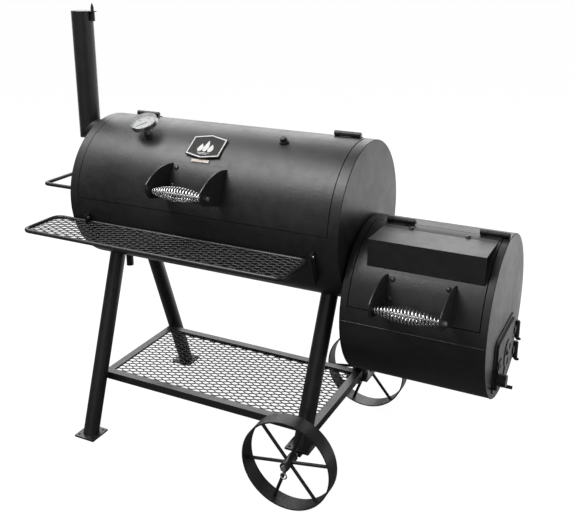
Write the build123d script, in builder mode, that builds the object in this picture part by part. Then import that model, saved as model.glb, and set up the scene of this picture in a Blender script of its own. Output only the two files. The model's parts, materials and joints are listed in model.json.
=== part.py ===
from build123d import *
import os
from math import asin, atan2, cos, degrees, radians, sin, sqrt

os.makedirs("parts", exist_ok=True)

# Offset smoker. X runs along both drums, towards the firebox; the front faces -Y; Z is up.
# Millimetres and degrees. A drum angle starts at the front (0) and climbs over the top (90).

# Driving dimensions: cooking drum and its lid
barrel_diameter = 460
barrel_length = 893
barrel_height = 780
sheet = 2.5
end_plate = 3
end_round = 2
seam = 2.5
lid_lift = 0.5
barrel_band = 32
lid_front_angle = 3.9
lid_rear_angle = 96
rim_lap = 12
rim_width = 26

# Firebox drum, its lid and the passage between the drums
firebox_diameter = 454
firebox_length = 396
firebox_height = 565
firebox_gap = 6
half_step = 1
firebox_band_left = 23
firebox_band_right = 21
firebox_lid_front_angle = 11.2
firebox_lid_rear_angle = 86
passage_width = 210
passage_height = 120
passage_level = 668
passage_round = 20
collar_wall = 5

# Hinges of both lids
hinge_length = 78
knuckle_radius = 7.5
knuckle_rise = 8.5
middle_knuckle = 36
knuckle_gap = 1
hinge_pin_radius = 4
hinge_play = 0.06
leaf_thickness = 2.5
leaf_reach = 22
leaf_setback = 1.5
notch_play = 0.6
pin_head = 3
pin_lip = 1.5
barrel_hinge_left = 123
barrel_hinge_right = 83
firebox_hinge_left = 93
firebox_hinge_right = 43

# Spring handles and their brackets
bracket_sheet = 3
bracket_span = 26
bracket_bulge_radius = 56
bracket_bulge_angle = 8.1
bracket_nose_radius = 108
bracket_nose_angle = 19.3
bracket_tip_radius = 82
handle_rod_radius = 4
handle_rod_reach = 76
handle_rod_angle = 22
handle_rod_end = 9
handle_nut_radius = 7
handle_nut_length = 7
spring_end_radius = 9
spring_middle_radius = 22
spring_wire = 4
spring_play = 0.6
bolt_inset = 18
upper_bolt_angle = 3.8
lower_bolt_angle = 16.5
bolt_head_radius = 5
bolt_head_height = 3.5
barrel_handle_left = 352
barrel_handle_width = 180
barrel_handle_angle = 39.6
firebox_handle_left = 117
firebox_handle_width = 185
firebox_handle_angle = 37.8

# Warming plate on the firebox lid
plate_left = 56
plate_width = 313
plate_front = 174
plate_rise = 221
plate_flange = 14

# Thermometer, probe plug and plaque on the cooking lid
gauge_left = 210
gauge_angle = 64
gauge_radius = 41
gauge_depth = 14
gauge_stand = 31
gauge_wall = 2.5
gauge_stem_radius = 7
gauge_nut_radius = 13
gauge_nut_height = 12
probe_radius = 3
probe_length = 90
dial_thickness = 1
glass_thickness = 2
needle_length = 29
needle_tail = 10
needle_width = 4
needle_hub_radius = 3.5
needle_rest_angle = 225
needle_thickness = 0.8
needle_play = 0.6
needle_pin_radius = 1.5
plug_left = 659
plug_angle = 70.7
plug_radius = 10
plug_height = 16
plug_collar_radius = 14
plug_collar_height = 5
plaque_left = 437
plaque_angle = 55.9
plaque_width = 112.5
plaque_height = 93
plaque_thickness = 3
plaque_shoulder = 35
plaque_stud_radius = 4
plaque_stand = 1.5
nameplate_angle = 43.4
nameplate_width = 58
nameplate_height = 9

# Chimney and its damper
chimney_radius = 34
chimney_wall = 2
chimney_offset = 97
chimney_level = 953
chimney_top = 1329
elbow_rise = 52
damper_sheet = 3
damper_play = 0.5
damper_pivot = 42
damper_lug_radius = 13
damper_boss_radius = 7
damper_boss_height = 28
damper_web = 6
damper_pin_radius = 3.5
finial_radius = 5
finial_height = 23

# Push handle and front shelf
handle_reach = 148
handle_half_span = 185
handle_level = 804
handle_rod = 6
handle_bend = 16
shelf_rod = 6
shelf_bend = 26
shelf_gap = 2
shelf_level = 720
shelf_front = 386
shelf_left_overhang = 64
shelf_right_inset = 79
mesh_sheet = 2
mesh_strand = 5
mesh_long = 62
mesh_short = 25.4
shelf_lug_inset = 70
shelf_lug_sheet = 4
shelf_lug_depth = 24
shelf_lug_rise = 24.7
shelf_lug_bottom = -32
lug_bolt_drop = 2.4

# Cooking grates inside the drum
grate_count = 3
grate_level = 752
grate_wall_gap = 17.8
grate_gap = 3
grate_bar_width = 6
grate_bar_height = 8
grate_wire = 3
grate_pitch = 19
grate_inset = 24
rail_ledge = 30
charcoal_rail_depth = 22
rail_angle = 5
rail_sheet = 3

# Charcoal grate inside the firebox
charcoal_level = 448
charcoal_inset = 22
charcoal_pitch = 24
charcoal_rail_inset = 60
charcoal_play = 8

# Undercarriage
leg_diameter = 50
leg_wall = 2.5
leg_left = 53
leg_right = 793
leg_right_lean = 16
leg_top_y = 90
leg_foot_y = 283
foot_size = 75
foot_thickness = 6
foot_hole_radius = 4
foot_hole_inset = 11
bottom_shelf_top = 186
weld_gap = 0.2
bottom_shelf_left = 48
bottom_shelf_right = 814
angle_iron = 25
angle_sheet = 3
wheel_radius = 137.5
wheel_width = 52
wheel_rim = 4
wheel_track = 614
wheel_x = 789
spoke_radius = 5
spoke_pairs = 3
spoke_turn = 10
hub_radius = 14
hub_length = 58
axle_radius = 8
axle_play = 0.08
axle_half_length = 345
cotter_radius = 2
cotter_ring_radius = 9
cotter_inset = 6
cradle_width = 26
cradle_length = 60

# Grease drain under the cooking drum
drain_left = 33
drain_radius = 12
drain_wall = 2
drain_length = 58

# Fire door in the firebox's outer end
door_radius = 212
door_top = -30
door_half_width = 118
door_corner = 26
door_lap = 13
door_sheet = 3
door_pan = 9
door_pan_inset = 12
door_play = 0.5
door_hinge_y = 128
door_knuckle_radius = 8
door_knuckle_length = 24
door_knuckle_gap = 0.6
door_pin_radius = 4
door_pin_bend = 5.5
door_pin_foot_turn = 150
door_axis_out = 12
door_hinge_levels = (-93, -158)
strap_length = 34
strap_sheet = 3
strap_height = 18
vent_center_y = 14
vent_center_level = -116
vent_radius = 11
vent_circle = 24
vent_count = 3
vent_turn = 90
damper_travel = 60
damper_gap = 0.4
damper_disc_radius = 40
damper_disc_sheet = 2
damper_knob_y = -28
damper_knob_level = -196
damper_knob_radius = 5
damper_knob_length = 27
damper_arm_width = 12
rivet_radius = 5
rivet_rise = 2
latch_y = -84
latch_level = -150
latch_length = 47
latch_width = 12
latch_sheet = 3
latch_knob_radius = 17
latch_knob_length = 22
latch_rest_angle = 60
keeper_width = 8
keeper_lip = 10
keeper_inset = 2
keeper_play = 0.6
pull_lug_gap = 4
pull_lug_foot = 8
pull_lug_top = 34
pull_lug_height = 36
pull_lug_slot_length = 14
pull_lug_slot_width = 8
pull_lug_slot_rise = 22

# Places that follow from the sizes above
barrel_radius = barrel_diameter / 2
firebox_radius = firebox_diameter / 2
door_stand = door_play + door_pan + damper_gap + damper_disc_sheet + damper_knob_length
total_length = handle_reach + barrel_length + firebox_gap + firebox_length + door_stand
barrel_left = handle_reach - total_length / 2
barrel_right = barrel_left + barrel_length
firebox_left = barrel_right + firebox_gap
firebox_right = firebox_left + firebox_length
axis_y = (shelf_front - axle_half_length) / 2
lid_radius = barrel_radius + lid_lift
firebox_lid_radius = firebox_radius + lid_lift
lid_left = barrel_left + barrel_band
lid_right = barrel_right - barrel_band
firebox_lid_left = firebox_left + firebox_band_left
firebox_lid_right = firebox_right - firebox_band_right
door_face = firebox_right + door_play + door_pan


def drum_plane(x, height):
    # section across a drum: local x points to the rear, local y up, the normal along +X
    return Plane(origin=(x, axis_y, height), x_dir=(0, 1, 0), z_dir=(1, 0, 0))


def polar(radius, angle):
    # a point of that section, in its local coordinates
    return (-radius * cos(radians(angle)), radius * sin(radians(angle)))


def drum_point(x, height, radius, angle):
    y, z = polar(radius, angle)
    return Vector(x, axis_y + y, height + z)


def surface_plane(x, height, radius, angle):
    # a plane that touches a drum, with its normal outward and its local x along +X
    outward = Vector(0, *polar(1, angle))
    return Plane(origin=drum_point(x, height, radius, angle), x_dir=(1, 0, 0), z_dir=outward)


def ring_sector(plane, outer, inner, start, end):
    # curved sheet in section, between two drum angles
    with BuildSketch(plane) as sector:
        with BuildLine():
            far = CenterArc((0, 0), outer, 180 - end, end - start)
            near = CenterArc((0, 0), inner, 180 - end, end - start)
            Line(far @ 0, near @ 0)
            Line(far @ 1, near @ 1)
        make_face()
    return sector.sketch


def rod(start, end, radius, mode=Mode.ADD):
    # round bar between two points, added to the piece in hand
    axis = Vector(end) - Vector(start)
    with BuildSketch(Plane(origin=start, z_dir=axis)) as section:
        Circle(radius)
    extrude(section.sketch, amount=axis.length, mode=mode)


def rod_along(plane, radius, length, mode=Mode.ADD):
    # round bar that starts on a plane and runs along its normal
    with BuildSketch(plane) as section:
        Circle(radius)
    extrude(section.sketch, amount=length, mode=mode)


def block(x, y, z, mode=Mode.ADD):
    # box between three pairs of limits
    with BuildSketch(Plane.XY.offset(z[0])) as section:
        with Locations(((x[0] + x[1]) / 2, (y[0] + y[1]) / 2)):
            Rectangle(x[1] - x[0], y[1] - y[0])
    extrude(section.sketch, amount=z[1] - z[0], mode=mode)


# Cooking drum: a rolled shell with the lid's opening and the drain's hole
with BuildPart() as barrel_shell:
    with BuildSketch(drum_plane(barrel_left + end_plate, barrel_height)):
        Circle(barrel_radius)
        Circle(barrel_radius - sheet, mode=Mode.SUBTRACT)
    extrude(amount=barrel_length - 2 * end_plate)
    seam_angle = degrees(seam / barrel_radius)
    opening = ring_sector(
        drum_plane(lid_left - seam, barrel_height),
        lid_radius + sheet,
        barrel_radius - 2 * sheet,
        lid_front_angle - seam_angle,
        lid_rear_angle + seam_angle,
    )
    extrude(opening, amount=lid_right - lid_left + 2 * seam, mode=Mode.SUBTRACT)
    drain_x = barrel_left + drain_left
    drain_floor = barrel_height - barrel_radius
    drain_bore = drain_radius - drain_wall
    rod((drain_x, axis_y, drain_floor - sheet), (drain_x, axis_y, barrel_height), drain_bore, Mode.SUBTRACT)
barrel_shell.part.label = "barrel_shell"
export_step(barrel_shell.part, "parts/barrel_shell.step")

# Left end, pierced for the chimney elbow
with BuildPart() as barrel_left_end:
    with BuildSketch(drum_plane(barrel_left, barrel_height)):
        Circle(barrel_radius)
        with Locations((0, chimney_level - barrel_height)):
            Circle(chimney_radius - chimney_wall, mode=Mode.SUBTRACT)
    extrude(amount=end_plate)
    outer_edge = barrel_left_end.edges().group_by(Axis.X)[0].sort_by(SortBy.LENGTH)[-1]
    fillet(outer_edge, radius=end_round)
barrel_left_end.part.label = "barrel_left_end"
export_step(barrel_left_end.part, "parts/barrel_left_end.step")

# Right end, with the passage to the firebox
with BuildPart() as barrel_right_end:
    with BuildSketch(drum_plane(barrel_right - end_plate, barrel_height)):
        Circle(barrel_radius)
        with Locations((0, passage_level - barrel_height)):
            RectangleRounded(passage_width, passage_height, passage_round, mode=Mode.SUBTRACT)
    extrude(amount=end_plate)
    outer_edge = barrel_right_end.edges().group_by(Axis.X)[-1].sort_by(SortBy.LENGTH)[-1]
    fillet(outer_edge, radius=end_round)
barrel_right_end.part.label = "barrel_right_end"
export_step(barrel_right_end.part, "parts/barrel_right_end.step")

# Inner rim that the cooking lid closes on: two curved sides and a front strip
with BuildPart() as lid_stop_rim:
    rim_outer = barrel_radius - sheet
    lap_angle = degrees(rim_lap / barrel_radius)
    width_angle = degrees(rim_width / barrel_radius)
    rim_low = lid_front_angle - lap_angle
    rim_high = lid_rear_angle + lap_angle
    for rim_x in (lid_left - rim_lap, lid_right + rim_lap - rim_width):
        plane = drum_plane(rim_x, barrel_height)
        side = ring_sector(plane, rim_outer, rim_outer - sheet, rim_low, rim_high)
        extrude(side, amount=rim_width)
    front = ring_sector(
        drum_plane(lid_left - rim_lap, barrel_height),
        rim_outer,
        rim_outer - sheet,
        rim_low,
        rim_low + width_angle,
    )
    extrude(front, amount=lid_right - lid_left + 2 * rim_lap)
lid_stop_rim.part.label = "lid_stop_rim"
export_step(lid_stop_rim.part, "parts/lid_stop_rim.step")

# Cooking lid: a curved sheet, drilled for the thermometer and the probe plug
gauge_x = barrel_left + gauge_left
plug_x = barrel_left + plug_left
with BuildPart() as main_lid:
    lid_section = ring_sector(
        drum_plane(lid_left, barrel_height), lid_radius, lid_radius - sheet, lid_front_angle, lid_rear_angle
    )
    extrude(lid_section, amount=lid_right - lid_left)
    for hole_x, hole_angle, hole_radius in (
        (gauge_x, gauge_angle, gauge_stem_radius),
        (plug_x, plug_angle, plug_radius),
    ):
        hole_plane = surface_plane(hole_x, barrel_height, lid_radius - 3 * sheet, hole_angle)
        rod_along(hole_plane, hole_radius, 5 * sheet, Mode.SUBTRACT)
main_lid.part.label = "main_lid"
export_step(main_lid.part, "parts/main_lid.step")

# Firebox: a plain lower half, and an upper half with the lid's opening
with BuildPart() as firebox_lower_shell:
    lower_outer = firebox_radius - half_step
    lower = ring_sector(
        drum_plane(firebox_left + end_plate, firebox_height), lower_outer, lower_outer - sheet, -180, 0
    )
    extrude(lower, amount=firebox_length - 2 * end_plate)
firebox_lower_shell.part.label = "firebox_lower_shell"
export_step(firebox_lower_shell.part, "parts/firebox_lower_shell.step")

with BuildPart() as firebox_upper_shell:
    upper = ring_sector(
        drum_plane(firebox_left + end_plate, firebox_height), firebox_radius, firebox_radius - sheet, 0, 180
    )
    extrude(upper, amount=firebox_length - 2 * end_plate)
    seam_angle = degrees(seam / firebox_radius)
    opening = ring_sector(
        drum_plane(firebox_lid_left - seam, firebox_height),
        firebox_lid_radius + sheet,
        firebox_radius - 2 * sheet,
        firebox_lid_front_angle - seam_angle,
        firebox_lid_rear_angle + seam_angle,
    )
    extrude(opening, amount=firebox_lid_right - firebox_lid_left + 2 * seam, mode=Mode.SUBTRACT)
firebox_upper_shell.part.label = "firebox_upper_shell"
export_step(firebox_upper_shell.part, "parts/firebox_upper_shell.step")

with BuildPart() as firebox_left_end:
    with BuildSketch(drum_plane(firebox_left, firebox_height)):
        Circle(firebox_radius)
        with Locations((0, passage_level - firebox_height)):
            RectangleRounded(passage_width, passage_height, passage_round, mode=Mode.SUBTRACT)
    extrude(amount=end_plate)
    outer_edge = firebox_left_end.edges().group_by(Axis.X)[0].sort_by(SortBy.LENGTH)[-1]
    fillet(outer_edge, radius=end_round)
firebox_left_end.part.label = "firebox_left_end"
export_step(firebox_left_end.part, "parts/firebox_left_end.step")


def door_outline(x, inset):
    # the door's shape: straight top, rounded corners, lower edge parallel to the drum
    with BuildSketch(drum_plane(x, firebox_height)) as outline:
        Circle(door_radius - inset)
        side = 2 * (door_half_width - inset)
        with Locations((0, door_top - inset - firebox_radius / 2)):
            Rectangle(side, firebox_radius, mode=Mode.INTERSECT)
        fillet(outline.vertices(), radius=door_corner - inset)
    return outline.sketch


with BuildPart() as firebox_right_end:
    with BuildSketch(drum_plane(firebox_right - end_plate, firebox_height)):
        Circle(firebox_radius)
    extrude(amount=end_plate)
    extrude(door_outline(firebox_right - end_plate, door_lap), amount=end_plate, mode=Mode.SUBTRACT)
    outer_edge = firebox_right_end.edges().group_by(Axis.X)[-1].sort_by(SortBy.LENGTH)[-1]
    fillet(outer_edge, radius=end_round)
firebox_right_end.part.label = "firebox_right_end"
export_step(firebox_right_end.part, "parts/firebox_right_end.step")

# Collar that joins the two drums round the passage
with BuildPart() as passage_collar:
    with BuildSketch(drum_plane(barrel_right, passage_level)):
        RectangleRounded(passage_width + 2 * collar_wall, passage_height + 2 * collar_wall, passage_round)
        RectangleRounded(passage_width, passage_height, passage_round, mode=Mode.SUBTRACT)
    extrude(amount=firebox_gap)
passage_collar.part.label = "passage_collar"
export_step(passage_collar.part, "parts/passage_collar.step")

# Firebox lid
with BuildPart() as firebox_lid:
    lid_section = ring_sector(
        drum_plane(firebox_lid_left, firebox_height),
        firebox_lid_radius,
        firebox_lid_radius - sheet,
        firebox_lid_front_angle,
        firebox_lid_rear_angle,
    )
    extrude(lid_section, amount=firebox_lid_right - firebox_lid_left)
firebox_lid.part.label = "firebox_lid"
export_step(firebox_lid.part, "parts/firebox_lid.step")


# Lid hinges. The pin's line lies over the rear seam. The fixed leaf carries the two outer
# knuckles, the moving leaf the middle one, and each leaf is notched for the other's knuckles.
barrel_hinges = (barrel_left + barrel_hinge_left, barrel_right - barrel_hinge_right)
firebox_hinges = (firebox_left + firebox_hinge_left, firebox_right - firebox_hinge_right)
barrel_hinge = (barrel_height, barrel_radius, lid_rear_angle)
firebox_hinge = (firebox_height, firebox_radius, firebox_lid_rear_angle)


def hinge_bar(center, hinge, low, high, radius, mode=Mode.ADD):
    # bar on the hinge's line, between two distances from the hinge's middle
    height, drum_radius, angle = hinge
    start = drum_point(center + low, height, drum_radius + knuckle_rise, angle)
    end = drum_point(center + high, height, drum_radius + knuckle_rise, angle)
    rod(start, end, radius, mode)


def fixed_leaf(center, hinge):
    height, drum_radius, angle = hinge
    near = angle + degrees(leaf_setback / drum_radius)
    far = angle + degrees(leaf_reach / drum_radius)
    plane = drum_plane(center - hinge_length / 2, height)
    extrude(ring_sector(plane, drum_radius + leaf_thickness, drum_radius, near, far), amount=hinge_length)
    half = middle_knuckle / 2 + knuckle_gap
    hinge_bar(center, hinge, -half, half, knuckle_radius + notch_play, Mode.SUBTRACT)
    for low, high in ((-hinge_length / 2, -half), (half, hinge_length / 2)):
        hinge_bar(center, hinge, low, high, knuckle_radius)
        hinge_bar(center, hinge, low, high, hinge_pin_radius, Mode.SUBTRACT)


def moving_leaf(center, hinge):
    height, drum_radius, angle = hinge
    near = angle - degrees(leaf_setback / drum_radius)
    far = angle - degrees(leaf_reach / drum_radius)
    inner = drum_radius + lid_lift
    plane = drum_plane(center - middle_knuckle / 2, height)
    extrude(ring_sector(plane, inner + leaf_thickness, inner, far, near), amount=middle_knuckle)
    hinge_bar(center, hinge, -middle_knuckle / 2, middle_knuckle / 2, knuckle_radius)
    bore = hinge_pin_radius + hinge_play
    hinge_bar(center, hinge, -middle_knuckle / 2, middle_knuckle / 2, bore, Mode.SUBTRACT)


def hinge_pin(center, hinge):
    half = hinge_length / 2
    hinge_bar(center, hinge, -half, half, hinge_pin_radius)
    hinge_bar(center, hinge, half, half + pin_head, hinge_pin_radius + pin_lip)


with BuildPart() as hinge_fixed_leaves:
    for center in barrel_hinges:
        fixed_leaf(center, barrel_hinge)
    for center in firebox_hinges:
        fixed_leaf(center, firebox_hinge)
hinge_fixed_leaves.part.label = "hinge_fixed_leaves"
export_step(hinge_fixed_leaves.part, "parts/hinge_fixed_leaves.step")

with BuildPart() as barrel_moving_leaves:
    for center in barrel_hinges:
        moving_leaf(center, barrel_hinge)
barrel_moving_leaves.part.label = "barrel_moving_leaves"
export_step(barrel_moving_leaves.part, "parts/barrel_moving_leaves.step")

with BuildPart() as firebox_moving_leaves:
    for center in firebox_hinges:
        moving_leaf(center, firebox_hinge)
firebox_moving_leaves.part.label = "firebox_moving_leaves"
export_step(firebox_moving_leaves.part, "parts/firebox_moving_leaves.step")

# Spring handles: a bent bracket with two ears, a rod through the ears and a coil on the rod.
# A handle is (x of its left ear, width, top angle, drum height, lid radius).
barrel_handle = (
    barrel_left + barrel_handle_left,
    barrel_handle_width,
    barrel_handle_angle,
    barrel_height,
    lid_radius,
)
firebox_handle = (
    firebox_left + firebox_handle_left,
    firebox_handle_width,
    firebox_handle_angle,
    firebox_height,
    firebox_lid_radius,
)


def ear(x, handle):
    # profile of one ear: a long curve from the lid out to the nose, then back under it
    _, _, top, height, surface = handle
    bottom = top - bracket_span
    nose = polar(surface + bracket_nose_radius, top - bracket_nose_angle)
    chin_angle = (top - bracket_nose_angle + bottom) / 2
    chin = polar(surface + bracket_nose_radius - bracket_sheet, chin_angle)
    tip = polar(surface + bracket_tip_radius, bottom)
    with BuildSketch(drum_plane(x, height)) as profile:
        with BuildLine():
            bulge = polar(surface + bracket_bulge_radius, top - bracket_bulge_angle)
            ThreePointArc(polar(surface, top), bulge, nose)
            ThreePointArc(nose, chin, tip)
            Line(tip, polar(surface, bottom))
            CenterArc((0, 0), surface, 180 - top, bracket_span)
        make_face()
    return profile.sketch


def handle_bar(handle, low, high, radius, mode=Mode.ADD):
    x, _, top, height, surface = handle
    reach = surface + handle_rod_reach
    angle = top - handle_rod_angle
    rod(drum_point(x + low, height, reach, angle), drum_point(x + high, height, reach, angle), radius, mode)


def handle_bracket(handle):
    x, width, top, height, surface = handle
    back = ring_sector(drum_plane(x, height), surface + bracket_sheet, surface, top - bracket_span, top)
    extrude(back, amount=width)
    extrude(ear(x, handle), amount=bracket_sheet)
    extrude(ear(x + width - bracket_sheet, handle), amount=bracket_sheet)
    handle_bar(handle, 0, width, handle_rod_radius, Mode.SUBTRACT)


def handle_rod_and_nut(handle):
    _, width, *_ = handle
    handle_bar(handle, -handle_rod_end, width + handle_rod_end, handle_rod_radius)
    handle_bar(handle, -handle_nut_length, 0, handle_nut_radius)
    handle_bar(handle, width, width + handle_nut_length, handle_nut_radius)


def handle_spring(handle):
    # closed sleeve of the coil's outer shape: narrow ends and a full middle
    x, width, top, height, surface = handle
    start = bracket_sheet + spring_play
    length = width - 2 * start
    center = drum_point(x + start, height, surface + handle_rod_reach, top - handle_rod_angle)
    end_bore = spring_end_radius - spring_wire
    middle_bore = spring_middle_radius - spring_wire
    with BuildSketch(Plane(origin=center, x_dir=(1, 0, 0), z_dir=(0, -1, 0))) as sleeve:
        with BuildLine():
            outer = ThreePointArc(
                (0, spring_end_radius), (length / 2, spring_middle_radius), (length, spring_end_radius)
            )
            inner = ThreePointArc((0, end_bore), (length / 2, middle_bore), (length, end_bore))
            Line(outer @ 0, inner @ 0)
            Line(outer @ 1, inner @ 1)
        make_face()
    revolve(sleeve.sketch, axis=Axis(center, (1, 0, 0)))


def bracket_bolts(handle):
    x, width, top, height, surface = handle
    for bolt_x in (x + bolt_inset, x + width - bolt_inset):
        for drop in (upper_bolt_angle, lower_bolt_angle):
            plane = surface_plane(bolt_x, height, surface + bracket_sheet, top - drop)
            rod_along(plane, bolt_head_radius, bolt_head_height)


with BuildPart() as main_handle_bracket:
    handle_bracket(barrel_handle)
main_handle_bracket.part.label = "main_handle_bracket"
export_step(main_handle_bracket.part, "parts/main_handle_bracket.step")

with BuildPart() as main_handle_fasteners:
    handle_rod_and_nut(barrel_handle)
    bracket_bolts(barrel_handle)
main_handle_fasteners.part.label = "main_handle_fasteners"
export_step(main_handle_fasteners.part, "parts/main_handle_fasteners.step")

with BuildPart() as main_handle_spring:
    handle_spring(barrel_handle)
main_handle_spring.part.label = "main_handle_spring"
export_step(main_handle_spring.part, "parts/main_handle_spring.step")

with BuildPart() as firebox_handle_bracket:
    handle_bracket(firebox_handle)
firebox_handle_bracket.part.label = "firebox_handle_bracket"
export_step(firebox_handle_bracket.part, "parts/firebox_handle_bracket.step")

with BuildPart() as firebox_handle_spring:
    handle_spring(firebox_handle)
firebox_handle_spring.part.label = "firebox_handle_spring"
export_step(firebox_handle_spring.part, "parts/firebox_handle_spring.step")

# Thermometer: a stem clamped by a nut, a cup with its dial, a needle on a pin, and a glass
with BuildPart() as gauge_case:
    base = surface_plane(gauge_x, barrel_height, lid_radius, gauge_angle)
    back = base.offset(gauge_stand)
    with BuildSketch(back):
        Circle(gauge_radius)
    extrude(amount=gauge_depth)
    rod_along(back.offset(gauge_wall), gauge_radius - gauge_wall, gauge_depth, Mode.SUBTRACT)
    stem_foot = sheet + gauge_nut_height
    rod_along(base.offset(-stem_foot), gauge_stem_radius, gauge_stand + stem_foot)
    rod_along(base.offset(-probe_length), probe_radius, probe_length)
gauge_case.part.label = "gauge_case"
export_step(gauge_case.part, "parts/gauge_case.step")

with BuildPart() as gauge_nut:
    with BuildSketch(base):
        RegularPolygon(gauge_nut_radius, 6)
        Circle(gauge_stem_radius, mode=Mode.SUBTRACT)
    extrude(amount=gauge_nut_height)
gauge_nut.part.label = "gauge_nut"
export_step(gauge_nut.part, "parts/gauge_nut.step")

dial_face = back.offset(gauge_wall + dial_thickness)
with BuildPart() as gauge_dial:
    rod_along(back.offset(gauge_wall), gauge_radius - gauge_wall, dial_thickness)
    rod_along(dial_face, needle_pin_radius, needle_play + needle_thickness)
gauge_dial.part.label = "gauge_dial"
export_step(gauge_dial.part, "parts/gauge_dial.step")

with BuildPart() as gauge_needle:
    with BuildSketch(dial_face.offset(needle_play)):
        Circle(needle_hub_radius)
        Polygon(
            (needle_length, 0),
            (0, needle_width / 2),
            (-needle_tail, needle_width / 4),
            (-needle_tail, -needle_width / 4),
            (0, -needle_width / 2),
            rotation=needle_rest_angle,
            align=None,
        )
        Circle(needle_pin_radius + axle_play, mode=Mode.SUBTRACT)
    extrude(amount=needle_thickness)
gauge_needle.part.label = "gauge_needle"
export_step(gauge_needle.part, "parts/gauge_needle.step")

with BuildPart() as gauge_glass:
    rod_along(back.offset(gauge_depth - glass_thickness), gauge_radius - gauge_wall, glass_thickness)
gauge_glass.part.label = "gauge_glass"
export_step(gauge_glass.part, "parts/gauge_glass.step")

# Plug of the spare probe hole
with BuildPart() as probe_plug:
    base = surface_plane(plug_x, barrel_height, lid_radius, plug_angle)
    rod_along(base, plug_collar_radius, plug_collar_height)
    plug_foot = sheet + plug_collar_height
    rod_along(base.offset(-plug_foot), plug_radius, plug_height + plug_foot)
    top_edge = probe_plug.edges().filter_by(GeomType.CIRCLE).sort_by(Axis(base.origin, base.z_dir))[-1]
    fillet(top_edge, radius=end_round)
probe_plug.part.label = "probe_plug"
export_step(probe_plug.part, "parts/probe_plug.step")

# Six-sided plaque on two studs, and the small plate under it
plaque_x = barrel_left + plaque_left
with BuildPart() as plaque:
    base = surface_plane(plaque_x, barrel_height, lid_radius, plaque_angle)
    with BuildSketch(base.offset(plaque_stand)):
        with BuildLine():
            Polyline(
                (0, plaque_height / 2),
                (plaque_width / 2, plaque_shoulder),
                (plaque_width / 2, -plaque_shoulder),
                (0, -plaque_height / 2),
                (-plaque_width / 2, -plaque_shoulder),
                (-plaque_width / 2, plaque_shoulder),
                close=True,
            )
        make_face()
    extrude(amount=plaque_thickness)
    with BuildSketch(base):
        with GridLocations(plaque_width / 2, 0, 2, 1):
            Circle(plaque_stud_radius)
    extrude(amount=plaque_stand)
plaque.part.label = "plaque"
export_step(plaque.part, "parts/plaque.step")

with BuildPart() as nameplate:
    base = surface_plane(plaque_x, barrel_height, lid_radius, nameplate_angle)
    with BuildSketch(base):
        Rectangle(nameplate_width, nameplate_height)
    extrude(amount=plaque_thickness)
nameplate.part.label = "nameplate"
export_step(nameplate.part, "parts/nameplate.step")

# Chimney: a mitred elbow out of the left end, a pipe on it, and a swivelling damper on top
chimney_x = barrel_left - chimney_offset
elbow_top = chimney_level + elbow_rise
with BuildPart() as chimney_elbow:
    with BuildLine() as bend:
        Polyline(
            (barrel_left, axis_y, chimney_level),
            (chimney_x, axis_y, chimney_level),
            (chimney_x, axis_y, elbow_top),
        )
    with BuildSketch(Plane(origin=bend.wire() @ 0, x_dir=(0, 1, 0), z_dir=bend.wire() % 0)):
        Circle(chimney_radius)
        Circle(chimney_radius - chimney_wall, mode=Mode.SUBTRACT)
    sweep(path=bend.wire(), transition=Transition.RIGHT)
chimney_elbow.part.label = "chimney_elbow"
export_step(chimney_elbow.part, "parts/chimney_elbow.step")

pivot_x = chimney_x + damper_pivot
damper_level = chimney_top + damper_play
with BuildPart() as chimney_pipe:
    foot = (chimney_x, axis_y, elbow_top)
    mouth = (chimney_x, axis_y, chimney_top)
    boss_foot = chimney_top - damper_boss_height
    boss_top = (pivot_x, axis_y, chimney_top)
    rod(foot, mouth, chimney_radius)
    rod((pivot_x, axis_y, boss_foot), boss_top, damper_boss_radius)
    web = (axis_y - damper_web / 2, axis_y + damper_web / 2)
    block((chimney_x, pivot_x), web, (boss_foot, chimney_top))
    rod(foot, mouth, chimney_radius - chimney_wall, Mode.SUBTRACT)
    bore = damper_pin_radius + axle_play
    rod((pivot_x, axis_y, boss_foot + damper_sheet), boss_top, bore, Mode.SUBTRACT)
chimney_pipe.part.label = "chimney_pipe"
export_step(chimney_pipe.part, "parts/chimney_pipe.step")

with BuildPart() as chimney_damper:
    with BuildSketch(Plane.XY.offset(damper_level)):
        with Locations((chimney_x, axis_y)):
            Circle(chimney_radius)
        with Locations((pivot_x, axis_y)):
            Circle(damper_lug_radius)
        with Locations(((chimney_x + pivot_x) / 2, axis_y)):
            Rectangle(damper_pivot, 2 * damper_lug_radius)
    extrude(amount=damper_sheet)
    pin_foot = chimney_top - damper_boss_height + 2 * damper_sheet
    rod((pivot_x, axis_y, pin_foot), (pivot_x, axis_y, damper_level), damper_pin_radius)
    with BuildSketch(Plane.XY.offset(damper_level + damper_sheet)) as finial_foot:
        with Locations((pivot_x, axis_y)):
            Circle(finial_radius)
    extrude(finial_foot.sketch, amount=finial_height / 2)
    with BuildSketch(Plane.XY.offset(damper_level + damper_sheet + finial_height / 2)) as finial_neck:
        with Locations((pivot_x, axis_y)):
            Circle(finial_radius)
    with BuildSketch(Plane.XY.offset(damper_level + damper_sheet + finial_height)) as finial_tip:
        with Locations((pivot_x, axis_y)):
            Circle(finial_radius / 3)
    loft([finial_neck.sketch.face(), finial_tip.sketch.face()])
chimney_damper.part.label = "chimney_damper"
export_step(chimney_damper.part, "parts/chimney_damper.step")

# Push handle: a bent rod on the left end
bar_x = barrel_left - handle_reach + handle_rod
with BuildPart() as push_handle:
    with BuildLine() as bend:
        FilletPolyline(
            (barrel_left, axis_y - handle_half_span, handle_level),
            (bar_x, axis_y - handle_half_span, handle_level),
            (bar_x, axis_y + handle_half_span, handle_level),
            (barrel_left, axis_y + handle_half_span, handle_level),
            radius=handle_bend,
        )
    with BuildSketch(Plane(origin=bend.line @ 0, z_dir=bend.line % 0)):
        Circle(handle_rod)
    sweep(path=bend.wire())
push_handle.part.label = "push_handle"
export_step(push_handle.part, "parts/push_handle.step")

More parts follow.
